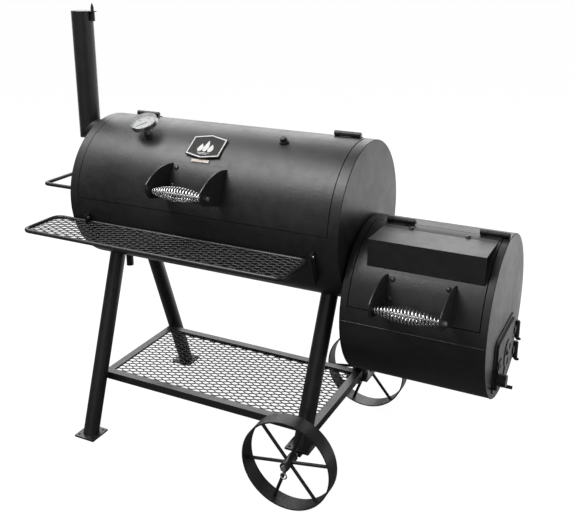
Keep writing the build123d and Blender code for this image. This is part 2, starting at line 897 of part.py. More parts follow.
# Front shelf: a rod frame, expanded metal inside it and two lugs on the drum
shelf_x = (barrel_left - shelf_left_overhang + shelf_rod, barrel_right - shelf_right_inset - shelf_rod)
shelf_drop = barrel_height - shelf_level
shelf_rear = axis_y - sqrt((barrel_radius + shelf_gap + shelf_rod) ** 2 - shelf_drop**2)
shelf_y = (axis_y - shelf_front + shelf_rod, shelf_rear)
shelf_middle = ((shelf_x[0] + shelf_x[1]) / 2, (shelf_y[0] + shelf_y[1]) / 2)
with BuildPart() as front_shelf_frame:
    with BuildLine(Plane.XY.offset(shelf_level)) as bend:
        FilletPolyline(
            (shelf_x[0], shelf_y[1]),
            (shelf_x[0], shelf_y[0]),
            (shelf_x[1], shelf_y[0]),
            (shelf_x[1], shelf_y[1]),
            close=True,
            radius=shelf_bend,
        )
    with BuildSketch(Plane(origin=bend.wire() @ 0, z_dir=bend.wire() % 0)):
        Circle(shelf_rod)
    sweep(path=bend.wire())
front_shelf_frame.part.label = "front_shelf_frame"
export_step(front_shelf_frame.part, "parts/front_shelf_frame.step")


def diamond_mesh(width, depth, corner):
    # sheet pierced by staggered diamonds, centred on its own origin
    columns = int((width - 4 * mesh_strand) // mesh_long)
    rows = int((depth - 2 * mesh_strand) // mesh_short)
    half_long = mesh_long / 2 - mesh_strand
    half_short = mesh_short / 2 - mesh_strand / 2
    diamond = ((half_long, 0), (0, half_short), (-half_long, 0), (0, -half_short))
    with BuildSketch() as sheet_metal:
        RectangleRounded(width, depth, corner)
        for rows_here, columns_here in ((rows, columns), (rows - 1, columns - 1)):
            with GridLocations(mesh_long, mesh_short, columns_here, rows_here):
                Polygon(*diamond, mode=Mode.SUBTRACT)
    return sheet_metal.sketch


shelf_lug_top = -degrees(asin((shelf_drop - shelf_lug_rise) / (barrel_radius + shelf_lug_depth)))
lug_centers = (barrel_left + shelf_lug_inset, barrel_right - shelf_lug_inset)
with BuildPart() as shelf_lugs:
    for lug_x in lug_centers:
        lug = ring_sector(
            drum_plane(lug_x - shelf_lug_sheet / 2, barrel_height),
            barrel_radius + shelf_lug_depth,
            barrel_radius,
            shelf_lug_bottom,
            shelf_lug_top,
        )
        extrude(lug, amount=shelf_lug_sheet)
    add(front_shelf_frame.part, mode=Mode.SUBTRACT)
shelf_lugs.part.label = "shelf_lugs"
export_step(shelf_lugs.part, "parts/shelf_lugs.step")

with BuildPart() as front_shelf_mesh:
    mesh_size = (shelf_x[1] - shelf_x[0] - shelf_rod, shelf_y[1] - shelf_y[0] - shelf_rod)
    mesh = diamond_mesh(*mesh_size, shelf_bend - shelf_rod / 2)
    extrude(Pos(*shelf_middle, shelf_level - mesh_sheet / 2) * mesh, amount=mesh_sheet)
    add(front_shelf_frame.part, mode=Mode.SUBTRACT)
    add(shelf_lugs.part, mode=Mode.SUBTRACT)
front_shelf_mesh.part.label = "front_shelf_mesh"
export_step(front_shelf_mesh.part, "parts/front_shelf_mesh.step")


def wire_grate(center_x, level, width, depth, pitch):
    # cross bars along X carry round wires that run along Y
    span = (center_x - width / 2, center_x + width / 2)
    top = level + grate_bar_height
    for y in (-depth / 2 + grate_bar_width / 2, 0, depth / 2 - grate_bar_width / 2):
        low = axis_y + y - grate_bar_width / 2
        block(span, (low, low + grate_bar_width), (level, top))
    count = int((width - 2 * grate_wire) // pitch) + 1
    wire_ends = Plane(origin=(center_x, axis_y + depth / 2, top), x_dir=(1, 0, 0), z_dir=(0, -1, 0))
    with BuildSketch(wire_ends) as wires:
        with GridLocations(pitch, 0, count, 1):
            Circle(grate_wire)
    extrude(wires.sketch, amount=depth)


inner_radius = barrel_radius - sheet
drop = barrel_height - grate_level
grate_width = (barrel_length - 2 * grate_inset - (grate_count - 1) * grate_gap) / grate_count
grate_depth = 2 * (sqrt(inner_radius**2 - drop**2) - grate_wall_gap)
for number in range(grate_count):
    with BuildPart() as cooking_grate:
        center_x = barrel_left + grate_inset + grate_width / 2 + number * (grate_width + grate_gap)
        wire_grate(center_x, grate_level, grate_width, grate_depth, grate_pitch)
    cooking_grate.part.label = f"cooking_grate_{number + 1}"
    export_step(cooking_grate.part, f"parts/cooking_grate_{number + 1}.step")

# Charcoal grate on two cross rails inside the firebox
charcoal_drop = firebox_height - charcoal_level
firebox_inner = firebox_radius - half_step - sheet
charcoal_depth = 2 * (sqrt(firebox_inner**2 - charcoal_drop**2) - charcoal_play)
with BuildPart() as charcoal_grate:
    center_x = (firebox_left + firebox_right) / 2
    charcoal_width = firebox_length - 2 * charcoal_inset
    wire_grate(center_x, charcoal_level, charcoal_width, charcoal_depth, charcoal_pitch)
charcoal_grate.part.label = "charcoal_grate"
export_step(charcoal_grate.part, "parts/charcoal_grate.step")

# Supports of the grates: two long ledges in the drum, two cross rails in the firebox
edge_angle = degrees(asin(drop / inner_radius))
wall_y = sqrt(inner_radius**2 - (drop + rail_sheet) ** 2)
with BuildPart() as grate_supports:
    rail_length = barrel_length - 2 * end_plate
    plane = drum_plane(barrel_left + end_plate, barrel_height)
    for start in (-edge_angle - rail_angle, 180 + edge_angle):
        flange = ring_sector(plane, inner_radius, inner_radius - rail_sheet, start, start + rail_angle)
        extrude(flange, amount=rail_length)
    for side in (-1, 1):
        block(
            (barrel_left + end_plate, barrel_right - end_plate),
            sorted((axis_y + side * wall_y, axis_y + side * (wall_y - rail_ledge))),
            (grate_level - rail_sheet, grate_level),
        )
    for rail_x in (firebox_left + charcoal_rail_inset, firebox_right - charcoal_rail_inset - rail_sheet):
        with BuildSketch(drum_plane(rail_x, firebox_height)):
            Circle(firebox_inner)
            with Locations((0, -charcoal_drop - charcoal_rail_depth / 2)):
                Rectangle(2 * firebox_radius, charcoal_rail_depth, mode=Mode.INTERSECT)
        extrude(amount=rail_sheet)
grate_supports.part.label = "grate_supports"
export_step(grate_supports.part, "parts/grate_supports.step")

# Legs: four tubes from the drum, the left pair down to the ground, the right pair to the axle
plate_level = {"left": 0, "right": wheel_radius + axle_radius}
leg_slope = (leg_foot_y - leg_top_y) / (barrel_height - barrel_radius)


def leg_reach(level):
    # distance of a leg's middle line from the drums' middle plane
    return leg_foot_y - leg_slope * level


for side, leg_x, lean in (("left", leg_left, 0), ("right", leg_right, leg_right_lean)):
    for end, sign in (("front", -1), ("rear", 1)):
        foot_level = plate_level[side] + foot_thickness
        foot = Vector(barrel_left + leg_x, axis_y + sign * leg_reach(foot_level), foot_level)
        top = Vector(barrel_left + leg_x + lean, axis_y + sign * leg_top_y, barrel_height - barrel_radius)
        with BuildPart() as leg:
            along = (top - foot).normalized()
            low = foot - along * leg_diameter
            rod(low, top + along * leg_diameter, leg_diameter / 2)
            rod(low, top + along * leg_diameter, leg_diameter / 2 - leg_wall, Mode.SUBTRACT)
            rod(
                (barrel_left, axis_y, barrel_height),
                (barrel_right, axis_y, barrel_height),
                barrel_radius,
                Mode.SUBTRACT,
            )
            split(bisect_by=Plane.XY.offset(foot_level), keep=Keep.TOP)
        leg.part.label = f"leg_{end}_{side}"
        export_step(leg.part, f"parts/leg_{end}_{side}.step")


def foot_plates(side, leg_x):
    # square plates with a hole near each corner, one under each leg of a pair
    level = plate_level[side]
    reach = leg_reach(level + foot_thickness)
    with BuildSketch(Plane.XY.offset(level)) as plates:
        with Locations((barrel_left + leg_x, axis_y - reach), (barrel_left + leg_x, axis_y + reach)):
            Rectangle(foot_size, foot_size)
            spacing = foot_size - 2 * foot_hole_inset
            with GridLocations(spacing, spacing, 2, 2):
                Circle(foot_hole_radius, mode=Mode.SUBTRACT)
    extrude(plates.sketch, amount=foot_thickness)


with BuildPart() as foot_plates_left:
    foot_plates("left", leg_left)
foot_plates_left.part.label = "foot_plates_left"
export_step(foot_plates_left.part, "parts/foot_plates_left.step")

axle_x = barrel_left + wheel_x
axle_plate_y = leg_reach(plate_level["right"] + foot_thickness)
with BuildPart() as axle_plates:
    foot_plates("right", leg_right)
    for sign in (-1, 1):
        middle = axis_y + sign * axle_plate_y
        block(
            (axle_x - cradle_width / 2, axle_x + cradle_width / 2),
            (middle - cradle_length / 2, middle + cradle_length / 2),
            (wheel_radius - axle_radius - angle_sheet, plate_level["right"]),
        )
        near_end = (axle_x, middle - cradle_length, wheel_radius)
        rod(near_end, (axle_x, middle + cradle_length, wheel_radius), axle_radius, Mode.SUBTRACT)
axle_plates.part.label = "axle_plates"
export_step(axle_plates.part, "parts/axle_plates.step")

# Bottom shelf: an angle-iron frame between the legs, with expanded metal under its flange
bottom_x = (barrel_left + bottom_shelf_left, barrel_left + bottom_shelf_right)
leg_inner_reach = leg_reach(bottom_shelf_top) - leg_diameter / 2 * sqrt(1 + leg_slope**2)
bottom_size = (bottom_x[1] - bottom_x[0], 2 * (leg_inner_reach - weld_gap))
bottom_middle = ((bottom_x[0] + bottom_x[1]) / 2, axis_y)
with BuildPart() as bottom_shelf_frame:
    for level, wall, height in (
        (bottom_shelf_top - angle_iron, angle_sheet, angle_iron),
        (bottom_shelf_top - angle_sheet, angle_iron, angle_sheet),
    ):
        with BuildSketch(Plane.XY.offset(level)) as flange:
            with Locations(bottom_middle):
                Rectangle(*bottom_size)
                Rectangle(bottom_size[0] - 2 * wall, bottom_size[1] - 2 * wall, mode=Mode.SUBTRACT)
        extrude(flange.sketch, amount=height)
bottom_shelf_frame.part.label = "bottom_shelf_frame"
export_step(bottom_shelf_frame.part, "parts/bottom_shelf_frame.step")

with BuildPart() as bottom_shelf_mesh:
    mesh = diamond_mesh(bottom_size[0] - angle_iron, bottom_size[1] - angle_iron, mesh_strand)
    extrude(Pos(*bottom_middle, bottom_shelf_top - angle_sheet - mesh_sheet) * mesh, amount=mesh_sheet)
bottom_shelf_mesh.part.label = "bottom_shelf_mesh"
export_step(bottom_shelf_mesh.part, "parts/bottom_shelf_mesh.step")

# Axle, ring pins through its ends, and two spoked wheels with flat rims
with BuildPart() as axle:
    front_end = (axle_x, axis_y - axle_half_length, wheel_radius)
    rod(front_end, (axle_x, axis_y + axle_half_length, wheel_radius), axle_radius)
    for sign in (-1, 1):
        pin_y = axis_y + sign * (axle_half_length - cotter_inset)
        hole_foot = (axle_x, pin_y, wheel_radius - axle_radius)
        rod(hole_foot, (axle_x, pin_y, wheel_radius + axle_radius), cotter_radius, Mode.SUBTRACT)
axle.part.label = "axle"
export_step(axle.part, "parts/axle.step")

# Loose fasteners of the frame: the shelf lugs' bolts, and ring pins through the axle's ends
with BuildPart() as frame_fasteners:
    for lug_x in lug_centers:
        bolt_radius = barrel_radius + shelf_lug_depth / 2
        bolt_angle = shelf_lug_top - lug_bolt_drop
        face = drum_point(lug_x + shelf_lug_sheet / 2, barrel_height, bolt_radius, bolt_angle)
        rod(face, face + Vector(bolt_head_height, 0, 0), bolt_head_radius)
        back_face = face - Vector(shelf_lug_sheet, 0, 0)
        rod(back_face, back_face - Vector(bolt_head_height, 0, 0), bolt_head_radius)
    for sign in (-1, 1):
        pin_y = axis_y + sign * (axle_half_length - cotter_inset)
        pin_top = wheel_radius + axle_radius + cotter_radius
        ring_center = (axle_x, pin_y, wheel_radius - axle_radius - 2 * cotter_ring_radius)
        rod((axle_x, pin_y, ring_center[2] + cotter_ring_radius), (axle_x, pin_y, pin_top), cotter_radius)
        with BuildSketch(Plane(origin=ring_center)):
            with Locations((cotter_ring_radius, 0)):
                Circle(cotter_radius)
        revolve(axis=Axis(ring_center, (0, 1, 0)))
frame_fasteners.part.label = "frame_fasteners"
export_step(frame_fasteners.part, "parts/frame_fasteners.step")

for end, sign in (("front", -1), ("rear", 1)):
    center = Vector(axle_x, axis_y + sign * wheel_track / 2, wheel_radius)
    section = Plane(origin=center, x_dir=(1, 0, 0), z_dir=(0, -1, 0))
    with BuildPart() as wheel:
        with BuildSketch(section):
            Circle(wheel_radius)
            Circle(wheel_radius - wheel_rim, mode=Mode.SUBTRACT)
        extrude(amount=wheel_width / 2, both=True)
        with BuildSketch(section):
            Circle(hub_radius)
        extrude(amount=hub_length / 2, both=True)
        for pair in range(spoke_pairs):
            turn = radians(spoke_turn + 180 * pair / spoke_pairs)
            reach = Vector(cos(turn), 0, sin(turn)) * (wheel_radius - wheel_rim / 2)
            rod(center - reach, center + reach, spoke_radius)
        with BuildSketch(section):
            Circle(axle_radius + axle_play)
        extrude(amount=hub_length, both=True, mode=Mode.SUBTRACT)
    wheel.part.label = f"wheel_{end}"
    export_step(wheel.part, f"parts/wheel_{end}.step")

# Grease drain
with BuildPart() as grease_drain:
    drain_foot = (drain_x, axis_y, drain_floor - drain_length)
    drain_top = (drain_x, axis_y, barrel_height)
    rod(drain_foot, drain_top, drain_radius)
    rod(drain_foot, drain_top, drain_bore, Mode.SUBTRACT)
    drum_start = (barrel_left, axis_y, barrel_height)
    rod(drum_start, (barrel_right, axis_y, barrel_height), barrel_radius, Mode.SUBTRACT)
grease_drain.part.label = "grease_drain"
export_step(grease_drain.part, "parts/grease_drain.step")

# Fire door: a pressed pan with a flange, two straps with knuckles and three air holes
hinge_x = firebox_right + door_axis_out
hinge_y = axis_y + door_hinge_y


def vent_points(turn):
    step = 360 / vent_count
    angles = [turn + step * index for index in range(vent_count)]
    return [
        (vent_center_y + vent_circle * cos(radians(a)), vent_center_level + vent_circle * sin(radians(a)))
        for a in angles
    ]


with BuildPart() as fire_door:
    inner_face = firebox_right + door_play
    extrude(door_outline(inner_face, 0), amount=door_sheet)
    extrude(door_outline(inner_face, door_pan_inset), amount=door_pan)
    hollow = door_outline(inner_face, door_pan_inset + door_sheet)
    extrude(hollow, amount=door_pan - door_sheet, mode=Mode.SUBTRACT)
    with BuildSketch(drum_plane(inner_face, firebox_height)) as vents:
        with Locations(vent_points(vent_turn)):
            Circle(vent_radius)
    extrude(vents.sketch, amount=2 * door_pan, mode=Mode.SUBTRACT)
    for level in door_hinge_levels:
        foot = firebox_height + level + door_knuckle_gap / 2
        rod((hinge_x, hinge_y, foot), (hinge_x, hinge_y, foot + door_knuckle_length), door_knuckle_radius)
        block(
            (door_face, door_face + strap_sheet),
            (hinge_y - strap_length, hinge_y),
            (foot, foot + strap_height),
        )
        bore = door_pin_radius + hinge_play
        rod((hinge_x, hinge_y, foot), (hinge_x, hinge_y, foot + door_knuckle_length), bore, Mode.SUBTRACT)
    with BuildSketch(drum_plane(door_face, firebox_height)) as lug:
        lug_foot = latch_level + latch_knob_radius + pull_lug_gap
        with Locations((latch_y, lug_foot)):
            Polygon(
                (-pull_lug_foot / 2, 0),
                (pull_lug_foot / 2, 0),
                (pull_lug_top / 2, pull_lug_height),
                (-pull_lug_top / 2, pull_lug_height),
                align=None,
            )
        with Locations((latch_y, lug_foot + pull_lug_slot_rise)):
            SlotOverall(pull_lug_slot_length, pull_lug_slot_width, rotation=90, mode=Mode.SUBTRACT)
    extrude(lug.sketch, amount=strap_sheet)
fire_door.part.label = "fire_door"
export_step(fire_door.part, "parts/fire_door.step")

# Fixed halves of the door's hinges
with BuildPart() as door_hinge_lugs:
    for level in door_hinge_levels:
        top = firebox_height + level - door_knuckle_gap / 2
        foot = top - door_knuckle_length
        rod((hinge_x, hinge_y, foot), (hinge_x, hinge_y, top), door_knuckle_radius)
        half = door_knuckle_radius / 2
        block((firebox_right, hinge_x), (hinge_y - half, hinge_y + half), (foot, top))
        rod((hinge_x, hinge_y, foot), (hinge_x, hinge_y, top), door_pin_radius, Mode.SUBTRACT)
door_hinge_lugs.part.label = "door_hinge_lugs"
export_step(door_hinge_lugs.part, "parts/door_hinge_lugs.step")

# All hinge pins: headed ones in the lids' hinges, and ones with a bent foot in the door's
with BuildPart() as hinge_pins:
    for center in barrel_hinges:
        hinge_pin(center, barrel_hinge)
    for center in firebox_hinges:
        hinge_pin(center, firebox_hinge)
    for level in door_hinge_levels:
        top = firebox_height + level + door_knuckle_length + door_knuckle_gap
        foot = firebox_height + level - door_knuckle_length - door_knuckle_gap
        rod((hinge_x, hinge_y, foot), (hinge_x, hinge_y, top), door_pin_radius)
        rod((hinge_x, hinge_y, top), (hinge_x, hinge_y, top + pin_head), door_pin_radius + pin_lip)
        with BuildSketch(Plane(origin=(hinge_x, hinge_y, foot), x_dir=(1, 0, 0), z_dir=(0, 0, -1))):
            Circle(door_pin_radius)
        bend_axis = Axis((hinge_x + door_pin_bend, hinge_y, foot), (0, -1, 0))
        revolve(axis=bend_axis, revolution_arc=door_pin_foot_turn)
hinge_pins.part.label = "hinge_pins"
export_step(hinge_pins.part, "parts/hinge_pins.step")

# Air damper: a turning disc over the door's holes, with an arm down to its knob
damper_face = door_face + damper_gap
with BuildPart() as air_damper:
    with BuildSketch(drum_plane(damper_face, firebox_height)) as disc:
        with Locations((vent_center_y, vent_center_level)):
            Circle(damper_disc_radius)
        arm = Vector(damper_knob_y - vent_center_y, damper_knob_level - vent_center_level)
        arm_angle = degrees(atan2(arm.Y, arm.X))
        with Locations((vent_center_y + arm.X / 2, vent_center_level + arm.Y / 2)):
            SlotCenterToCenter(arm.length, damper_arm_width, rotation=arm_angle)
        with Locations(vent_points(vent_turn - damper_travel)):
            Circle(vent_radius, mode=Mode.SUBTRACT)
    extrude(disc.sketch, amount=damper_disc_sheet)
    for y, level, radius, length in (
        (damper_knob_y, damper_knob_level, damper_knob_radius, damper_knob_length),
        (vent_center_y, vent_center_level, rivet_radius, rivet_rise),
    ):
        with BuildSketch(drum_plane(damper_face + damper_disc_sheet, firebox_height)) as stub:
            with Locations((y, level)):
                Circle(radius)
        extrude(stub.sketch, amount=length)
air_damper.part.label = "air_damper"
export_step(air_damper.part, "parts/air_damper.step")

# Latch: a tongue on a knob, which rests lifted and turns down into the keeper beside the door
with BuildPart() as door_latch:
    tongue = latch_length - latch_width / 2
    middle = Vector(tongue / 2, 0).rotate(Axis.Z, 180 - latch_rest_angle)
    with BuildSketch(drum_plane(damper_face, firebox_height)) as flat:
        with Locations((latch_y + middle.X, latch_level + middle.Y)):
            SlotCenterToCenter(tongue, latch_width, rotation=180 - latch_rest_angle)
    extrude(flat.sketch, amount=latch_sheet)
    with BuildSketch(drum_plane(damper_face, firebox_height)) as knob:
        with Locations((latch_y, latch_level)):
            Circle(latch_knob_radius)
    extrude(knob.sketch, amount=latch_knob_length)
door_latch.part.label = "door_latch"
export_step(door_latch.part, "parts/door_latch.step")

with BuildPart() as latch_keeper:
    keeper_low = axis_y + latch_y - latch_length + keeper_inset
    keeper_y = (keeper_low, keeper_low + keeper_width)
    ledge = firebox_height + latch_level - latch_width / 2 - keeper_play
    lip_x = damper_face + latch_sheet + keeper_play
    block((firebox_right, lip_x + strap_sheet), keeper_y, (ledge - strap_sheet, ledge))
    block((lip_x, lip_x + strap_sheet), keeper_y, (ledge - strap_sheet, ledge + keeper_lip))
latch_keeper.part.label = "latch_keeper"
export_step(latch_keeper.part, "parts/latch_keeper.step")

# Warming plate over the firebox lid: a flat top, a front panel and a rear flange on the lid
plate_x = firebox_left + plate_left
flat_y = -sqrt((firebox_lid_radius + sheet) ** 2 - (plate_rise + sheet) ** 2)
panel_low = sqrt(firebox_lid_radius**2 - (plate_front - sheet) ** 2)
with BuildPart() as warming_plate:
    with BuildSketch(drum_plane(plate_x, firebox_height)):
        with BuildLine():
            Polyline(
                (-plate_front, panel_low),
                (-plate_front, plate_rise + sheet),
                (flat_y, plate_rise + sheet),
                (flat_y, plate_rise),
                (-plate_front + sheet, plate_rise),
                (-plate_front + sheet, panel_low),
                close=True,
            )
        make_face()
    extrude(amount=plate_width)
    flange_start = degrees(atan2(plate_rise + sheet, -flat_y))
    flange = ring_sector(
        drum_plane(plate_x, firebox_height),
        firebox_lid_radius + sheet,
        firebox_lid_radius,
        flange_start - degrees(sheet / firebox_radius),
        flange_start + degrees(plate_flange / firebox_radius),
    )
    extrude(flange, amount=plate_width)
    rod(
        (plate_x, axis_y, firebox_height),
        (plate_x + plate_width, axis_y, firebox_height),
        firebox_lid_radius,
        Mode.SUBTRACT,
    )
warming_plate.part.label = "warming_plate"
export_step(warming_plate.part, "parts/warming_plate.step")

# Fasteners of the firebox lid: the handle's rod and bolts, and two bolts on the plate's flange
with BuildPart() as firebox_lid_fasteners:
    handle_rod_and_nut(firebox_handle)
    bracket_bolts(firebox_handle)
    for bolt_x in (plate_x + plate_width / 4, plate_x + plate_width * 3 / 4):
        bolt_angle = flange_start + degrees(plate_flange / 2 / firebox_radius)
        plane = surface_plane(bolt_x, firebox_height, firebox_lid_radius + sheet, bolt_angle)
        rod_along(plane, bolt_head_radius, bolt_head_height)
firebox_lid_fasteners.part.label = "firebox_lid_fasteners"
export_step(firebox_lid_fasteners.part, "parts/firebox_lid_fasteners.step")
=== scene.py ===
import bmesh
import bpy
import json
from math import cos, pi, radians, sin
from mathutils import Matrix, Vector


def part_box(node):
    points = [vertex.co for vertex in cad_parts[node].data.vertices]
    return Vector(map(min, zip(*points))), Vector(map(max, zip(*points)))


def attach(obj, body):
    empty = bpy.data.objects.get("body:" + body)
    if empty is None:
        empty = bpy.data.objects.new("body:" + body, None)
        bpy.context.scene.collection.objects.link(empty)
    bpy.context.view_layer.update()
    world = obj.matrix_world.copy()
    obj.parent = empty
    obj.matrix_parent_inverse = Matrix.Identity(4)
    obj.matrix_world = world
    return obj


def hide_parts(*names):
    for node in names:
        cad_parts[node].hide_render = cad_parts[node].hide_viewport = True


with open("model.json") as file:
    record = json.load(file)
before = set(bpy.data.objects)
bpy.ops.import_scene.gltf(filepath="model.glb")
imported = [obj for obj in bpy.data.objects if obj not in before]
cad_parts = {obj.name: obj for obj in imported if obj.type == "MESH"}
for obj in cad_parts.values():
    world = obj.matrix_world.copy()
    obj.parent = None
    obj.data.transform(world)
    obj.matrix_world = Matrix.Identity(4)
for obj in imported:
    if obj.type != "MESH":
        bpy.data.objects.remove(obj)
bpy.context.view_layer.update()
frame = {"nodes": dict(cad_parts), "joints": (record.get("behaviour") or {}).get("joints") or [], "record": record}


class Wire:
    # one socket of a node tree; arithmetic on it adds the nodes
    def __init__(self, tree, socket=None):
        self.tree = tree
        self.socket = socket

    def node(self, kind, settings, inputs, output=0):
        item = self.tree.nodes.new(kind)
        for key, value in settings.items():
            setattr(item, key, value)
        for key, value in inputs.items():
            if isinstance(value, Wire):
                self.tree.links.new(value.socket, item.inputs[key])
            elif isinstance(value, list):  # several links into one socket
                for wire in value:
                    self.tree.links.new(wire.socket, item.inputs[key])
            else:
                item.inputs[key].default_value = value
        return Wire(self.tree, item.outputs[output] if item.outputs else None)

    def math(self, operation, first, second=0.0):
        return self.node("ShaderNodeMath", {"operation": operation}, {0: first, 1: second})

    def __add__(self, other):
        return self.math("ADD", self, other)

    def __radd__(self, other):
        return self.math("ADD", other, self)

    def __sub__(self, other):
        return self.math("SUBTRACT", self, other)

    def __rsub__(self, other):
        return self.math("SUBTRACT", other, self)

    def __mul__(self, other):
        return self.math("MULTIPLY", self, other)

    def __rmul__(self, other):
        return self.math("MULTIPLY", other, self)

    def __truediv__(self, other):
        return self.math("DIVIDE", self, other)

    def __rtruediv__(self, other):
        return self.math("DIVIDE", other, self)


def grey(level, warm=0.0):
    return (level * (1 + warm), level, level * (1 - warm), 1)


def newFinish(name):
    material = bpy.data.materials.new(name)
    material.use_nodes = True
    material.node_tree.nodes.clear()
    net = Wire(material.node_tree)
    return material, net, net.node("ShaderNodeTexCoord", {}, {}, "Object")


def noise(net, spot, scale, detail=2.0, rough=0.5):
    sockets = {"Vector": spot, "Scale": scale, "Detail": detail, "Roughness": rough}
    return net.node("ShaderNodeTexNoise", {}, sockets, "Fac")


def band(net, value, low, high):
    sockets = {"Value": value, "From Min": low, "From Max": high}
    return net.node("ShaderNodeMapRange", {"clamp": True}, sockets)


def patches(net, spot, look, kind, detail=4.0, rough=0.6):
    # noise spread from none to full between two of its levels
    value = noise(net, spot, look[kind + "Scale"], detail, rough)
    return band(net, value, look[kind + "From"], look[kind + "To"])


def blend(net, factor, first, second):
    # two colours; sockets 6 and 7 are the colour pair of the Mix node
    return net.node("ShaderNodeMix", {"data_type": "RGBA"}, {0: factor, 6: first, 7: second}, 2)


def bump(net, height):
    # height in metres
    return net.node("ShaderNodeBump", {}, {"Height": height, "Distance": 1.0, "Strength": 1.0}, "Normal")


def axisOf(net, vector, axis):
    return net.node("ShaderNodeSeparateXYZ", {}, {"Vector": vector}, axis)


def surface(net, sockets):
    shader = net.node("ShaderNodeBsdfPrincipled", {}, sockets)
    net.node("ShaderNodeOutputMaterial", {}, {"Surface": shader})


paintLook = {
    "dark": 0.01, "light": 0.022, "warm": 0.02, "roughLow": 0.36, "roughHigh": 0.5,
    "cloudScale": 5.0, "cloudShare": 0.6, "mottleScale": 38.0, "toneFrom": 0.35, "toneTo": 0.65,
    "speckScale": 420.0, "speckFrom": 0.68, "speckTo": 0.78,  # dry dust specks in the coat
    "speckShare": 0.35, "speckTone": 2.6, "speckRough": 0.1,
    "grainScale": 1500.0, "grainDepth": 0.00007, "peelScale": 190.0, "peelDepth": 0.00025,
}


def makePaint(name, look):
    material, net, spot = newFinish(name)
    cloud = noise(net, spot, look["cloudScale"], detail=3.0)
    mottle = noise(net, spot, look["mottleScale"], detail=4.0, rough=0.6)
    grain = noise(net, spot, look["grainScale"], detail=1.0)
    peel = noise(net, spot, look["peelScale"])
    clouded = cloud * look["cloudShare"] + mottle * (1 - look["cloudShare"])
    tone = band(net, clouded, look["toneFrom"], look["toneTo"])
    speck = patches(net, spot, look, "speck", detail=2.0, rough=0.5)
    coat = blend(net, tone, grey(look["dark"], look["warm"]), grey(look["light"], look["warm"]))
    rough = look["roughLow"] + (look["roughHigh"] - look["roughLow"]) * tone
    surface(net, {
        "Base Color": blend(net, speck * look["speckShare"], coat, grey(look["light"] * look["speckTone"])),
        "Roughness": rough + speck * look["speckRough"],
        "Normal": bump(net, grain * look["grainDepth"] + peel * look["peelDepth"]),
    })
    return material


chromeLook = {
    "bright": 0.78, "dull": 0.62, "warm": 0.01, "smearScale": 60.0, "smearFrom": 0.4, "smearTo": 0.7,
    "rough": 0.08, "smearRough": 0.12, "scratchScale": 1400.0, "scratchDepth": 0.00002,
}


def makeChrome(name, look):
    material, net, spot = newFinish(name)
    smear = patches(net, spot, look, "smear", detail=3.0, rough=0.5)
    scratch = noise(net, spot, look["scratchScale"], detail=1.0)
    surface(net, {
        "Base Color": blend(net, smear, grey(look["bright"]), grey(look["dull"], look["warm"])),
        "Metallic": 1.0, "Roughness": look["rough"] + look["smearRough"] * smear,
        "Normal": bump(net, scratch * look["scratchDepth"]),
    })
    return material


steelLook = {
    "bright": 0.66, "dullShare": 0.62, "warm": 0.03, "patinaScale": 90.0, "patinaFrom": 0.35, "patinaTo": 0.7,
    "rough": 0.34, "patinaRough": 0.15, "grainScale": 900.0, "grainDepth": 0.00004,
}


def makeSteel(name, look):
    material, net, spot = newFinish(name)
    patina = patches(net, spot, look, "patina")
    dull = grey(look["bright"] * look["dullShare"], look["warm"])
    surface(net, {
        "Base Color": blend(net, patina, grey(look["bright"]), dull),
        "Metallic": 1.0, "Roughness": look["rough"] + look["patinaRough"] * patina,
        "Normal": bump(net, noise(net, spot, look["grainScale"]) * look["grainDepth"]),
    })
    return material


ironLook = {
    "dark": 0.012, "light": 0.034, "warm": 0.08, "patchScale": 24.0, "patchFrom": 0.4, "patchTo": 0.65,
    "rough": 0.32, "patchRough": 0.3, "pitScale": 700.0, "pitDepth": 0.00015,
}


def makeIron(name, look):
    # enamelled grate wire with baked-on dull patches
    material, net, spot = newFinish(name)
    patch = patches(net, spot, look, "patch")
    surface(net, {
        "Base Color": blend(net, patch, grey(look["dark"]), grey(look["light"], look["warm"])),
        "Roughness": look["rough"] + look["patchRough"] * patch,
        "Normal": bump(net, noise(net, spot, look["pitScale"]) * look["pitDepth"]),
    })
    return material


printLook = {
    "bright": 0.4, "warm": 0.0, "fade": 0.2, "soilScale": 130.0, "soilFrom": 0.45, "soilTo": 0.8,
    "rough": 0.4, "soilRough": 0.1, "shine": 0.5, "grainScale": 800.0, "grainDepth": 0.00003,
}


def makePrint(name, look):
    # flat printed or enamelled colour with a little soiling
    material, net, spot = newFinish(name)
    soil = patches(net, spot, look, "soil")
    faded = grey(look["bright"] * (1 - look["fade"]), look["warm"])
    grain = noise(net, spot, look["grainScale"], detail=1.0)
    surface(net, {
        "Base Color": blend(net, soil, grey(look["bright"], look["warm"]), faded),
        "Roughness": look["rough"] + look["soilRough"] * soil, "Specular IOR Level": look["shine"],
        "Normal": bump(net, grain * look["grainDepth"]),
    })
    return material


redLook = {
    "bright": (0.42, 0.05, 0.06, 1), "dull": (0.3, 0.04, 0.045, 1),
    "soilScale": 130.0, "soilFrom": 0.4, "soilTo": 0.8, "rough": 0.45, "soilRough": 0.1,
}


def makeRedPrint(name, look):
    material, net, spot = newFinish(name)
    soil = patches(net, spot, look, "soil")
    colour = blend(net, soil, look["bright"], look["dull"])
    surface(net, {"Base Color": colour, "Roughness": look["rough"] + look["soilRough"] * soil})
    return material


glassLook = {
    "colour": (0.95, 0.97, 0.98, 1), "smudgeScale": 70.0, "smudgeFrom": 0.45, "smudgeTo": 0.8,
    "rough": 0.03, "smudgeRough": 0.1, "alpha": 0.1, "smudgeAlpha": 0.06, "bending": 1.45,
}


def makeGlass(name, look):
    material, net, spot = newFinish(name)
    smudge = patches(net, spot, look, "smudge", detail=3.0, rough=0.5)
    surface(net, {
        "Base Color": look["colour"], "Roughness": look["rough"] + look["smudgeRough"] * smudge,
        "Alpha": look["alpha"] + look["smudgeAlpha"] * smudge, "IOR": look["bending"],
    })
    return material


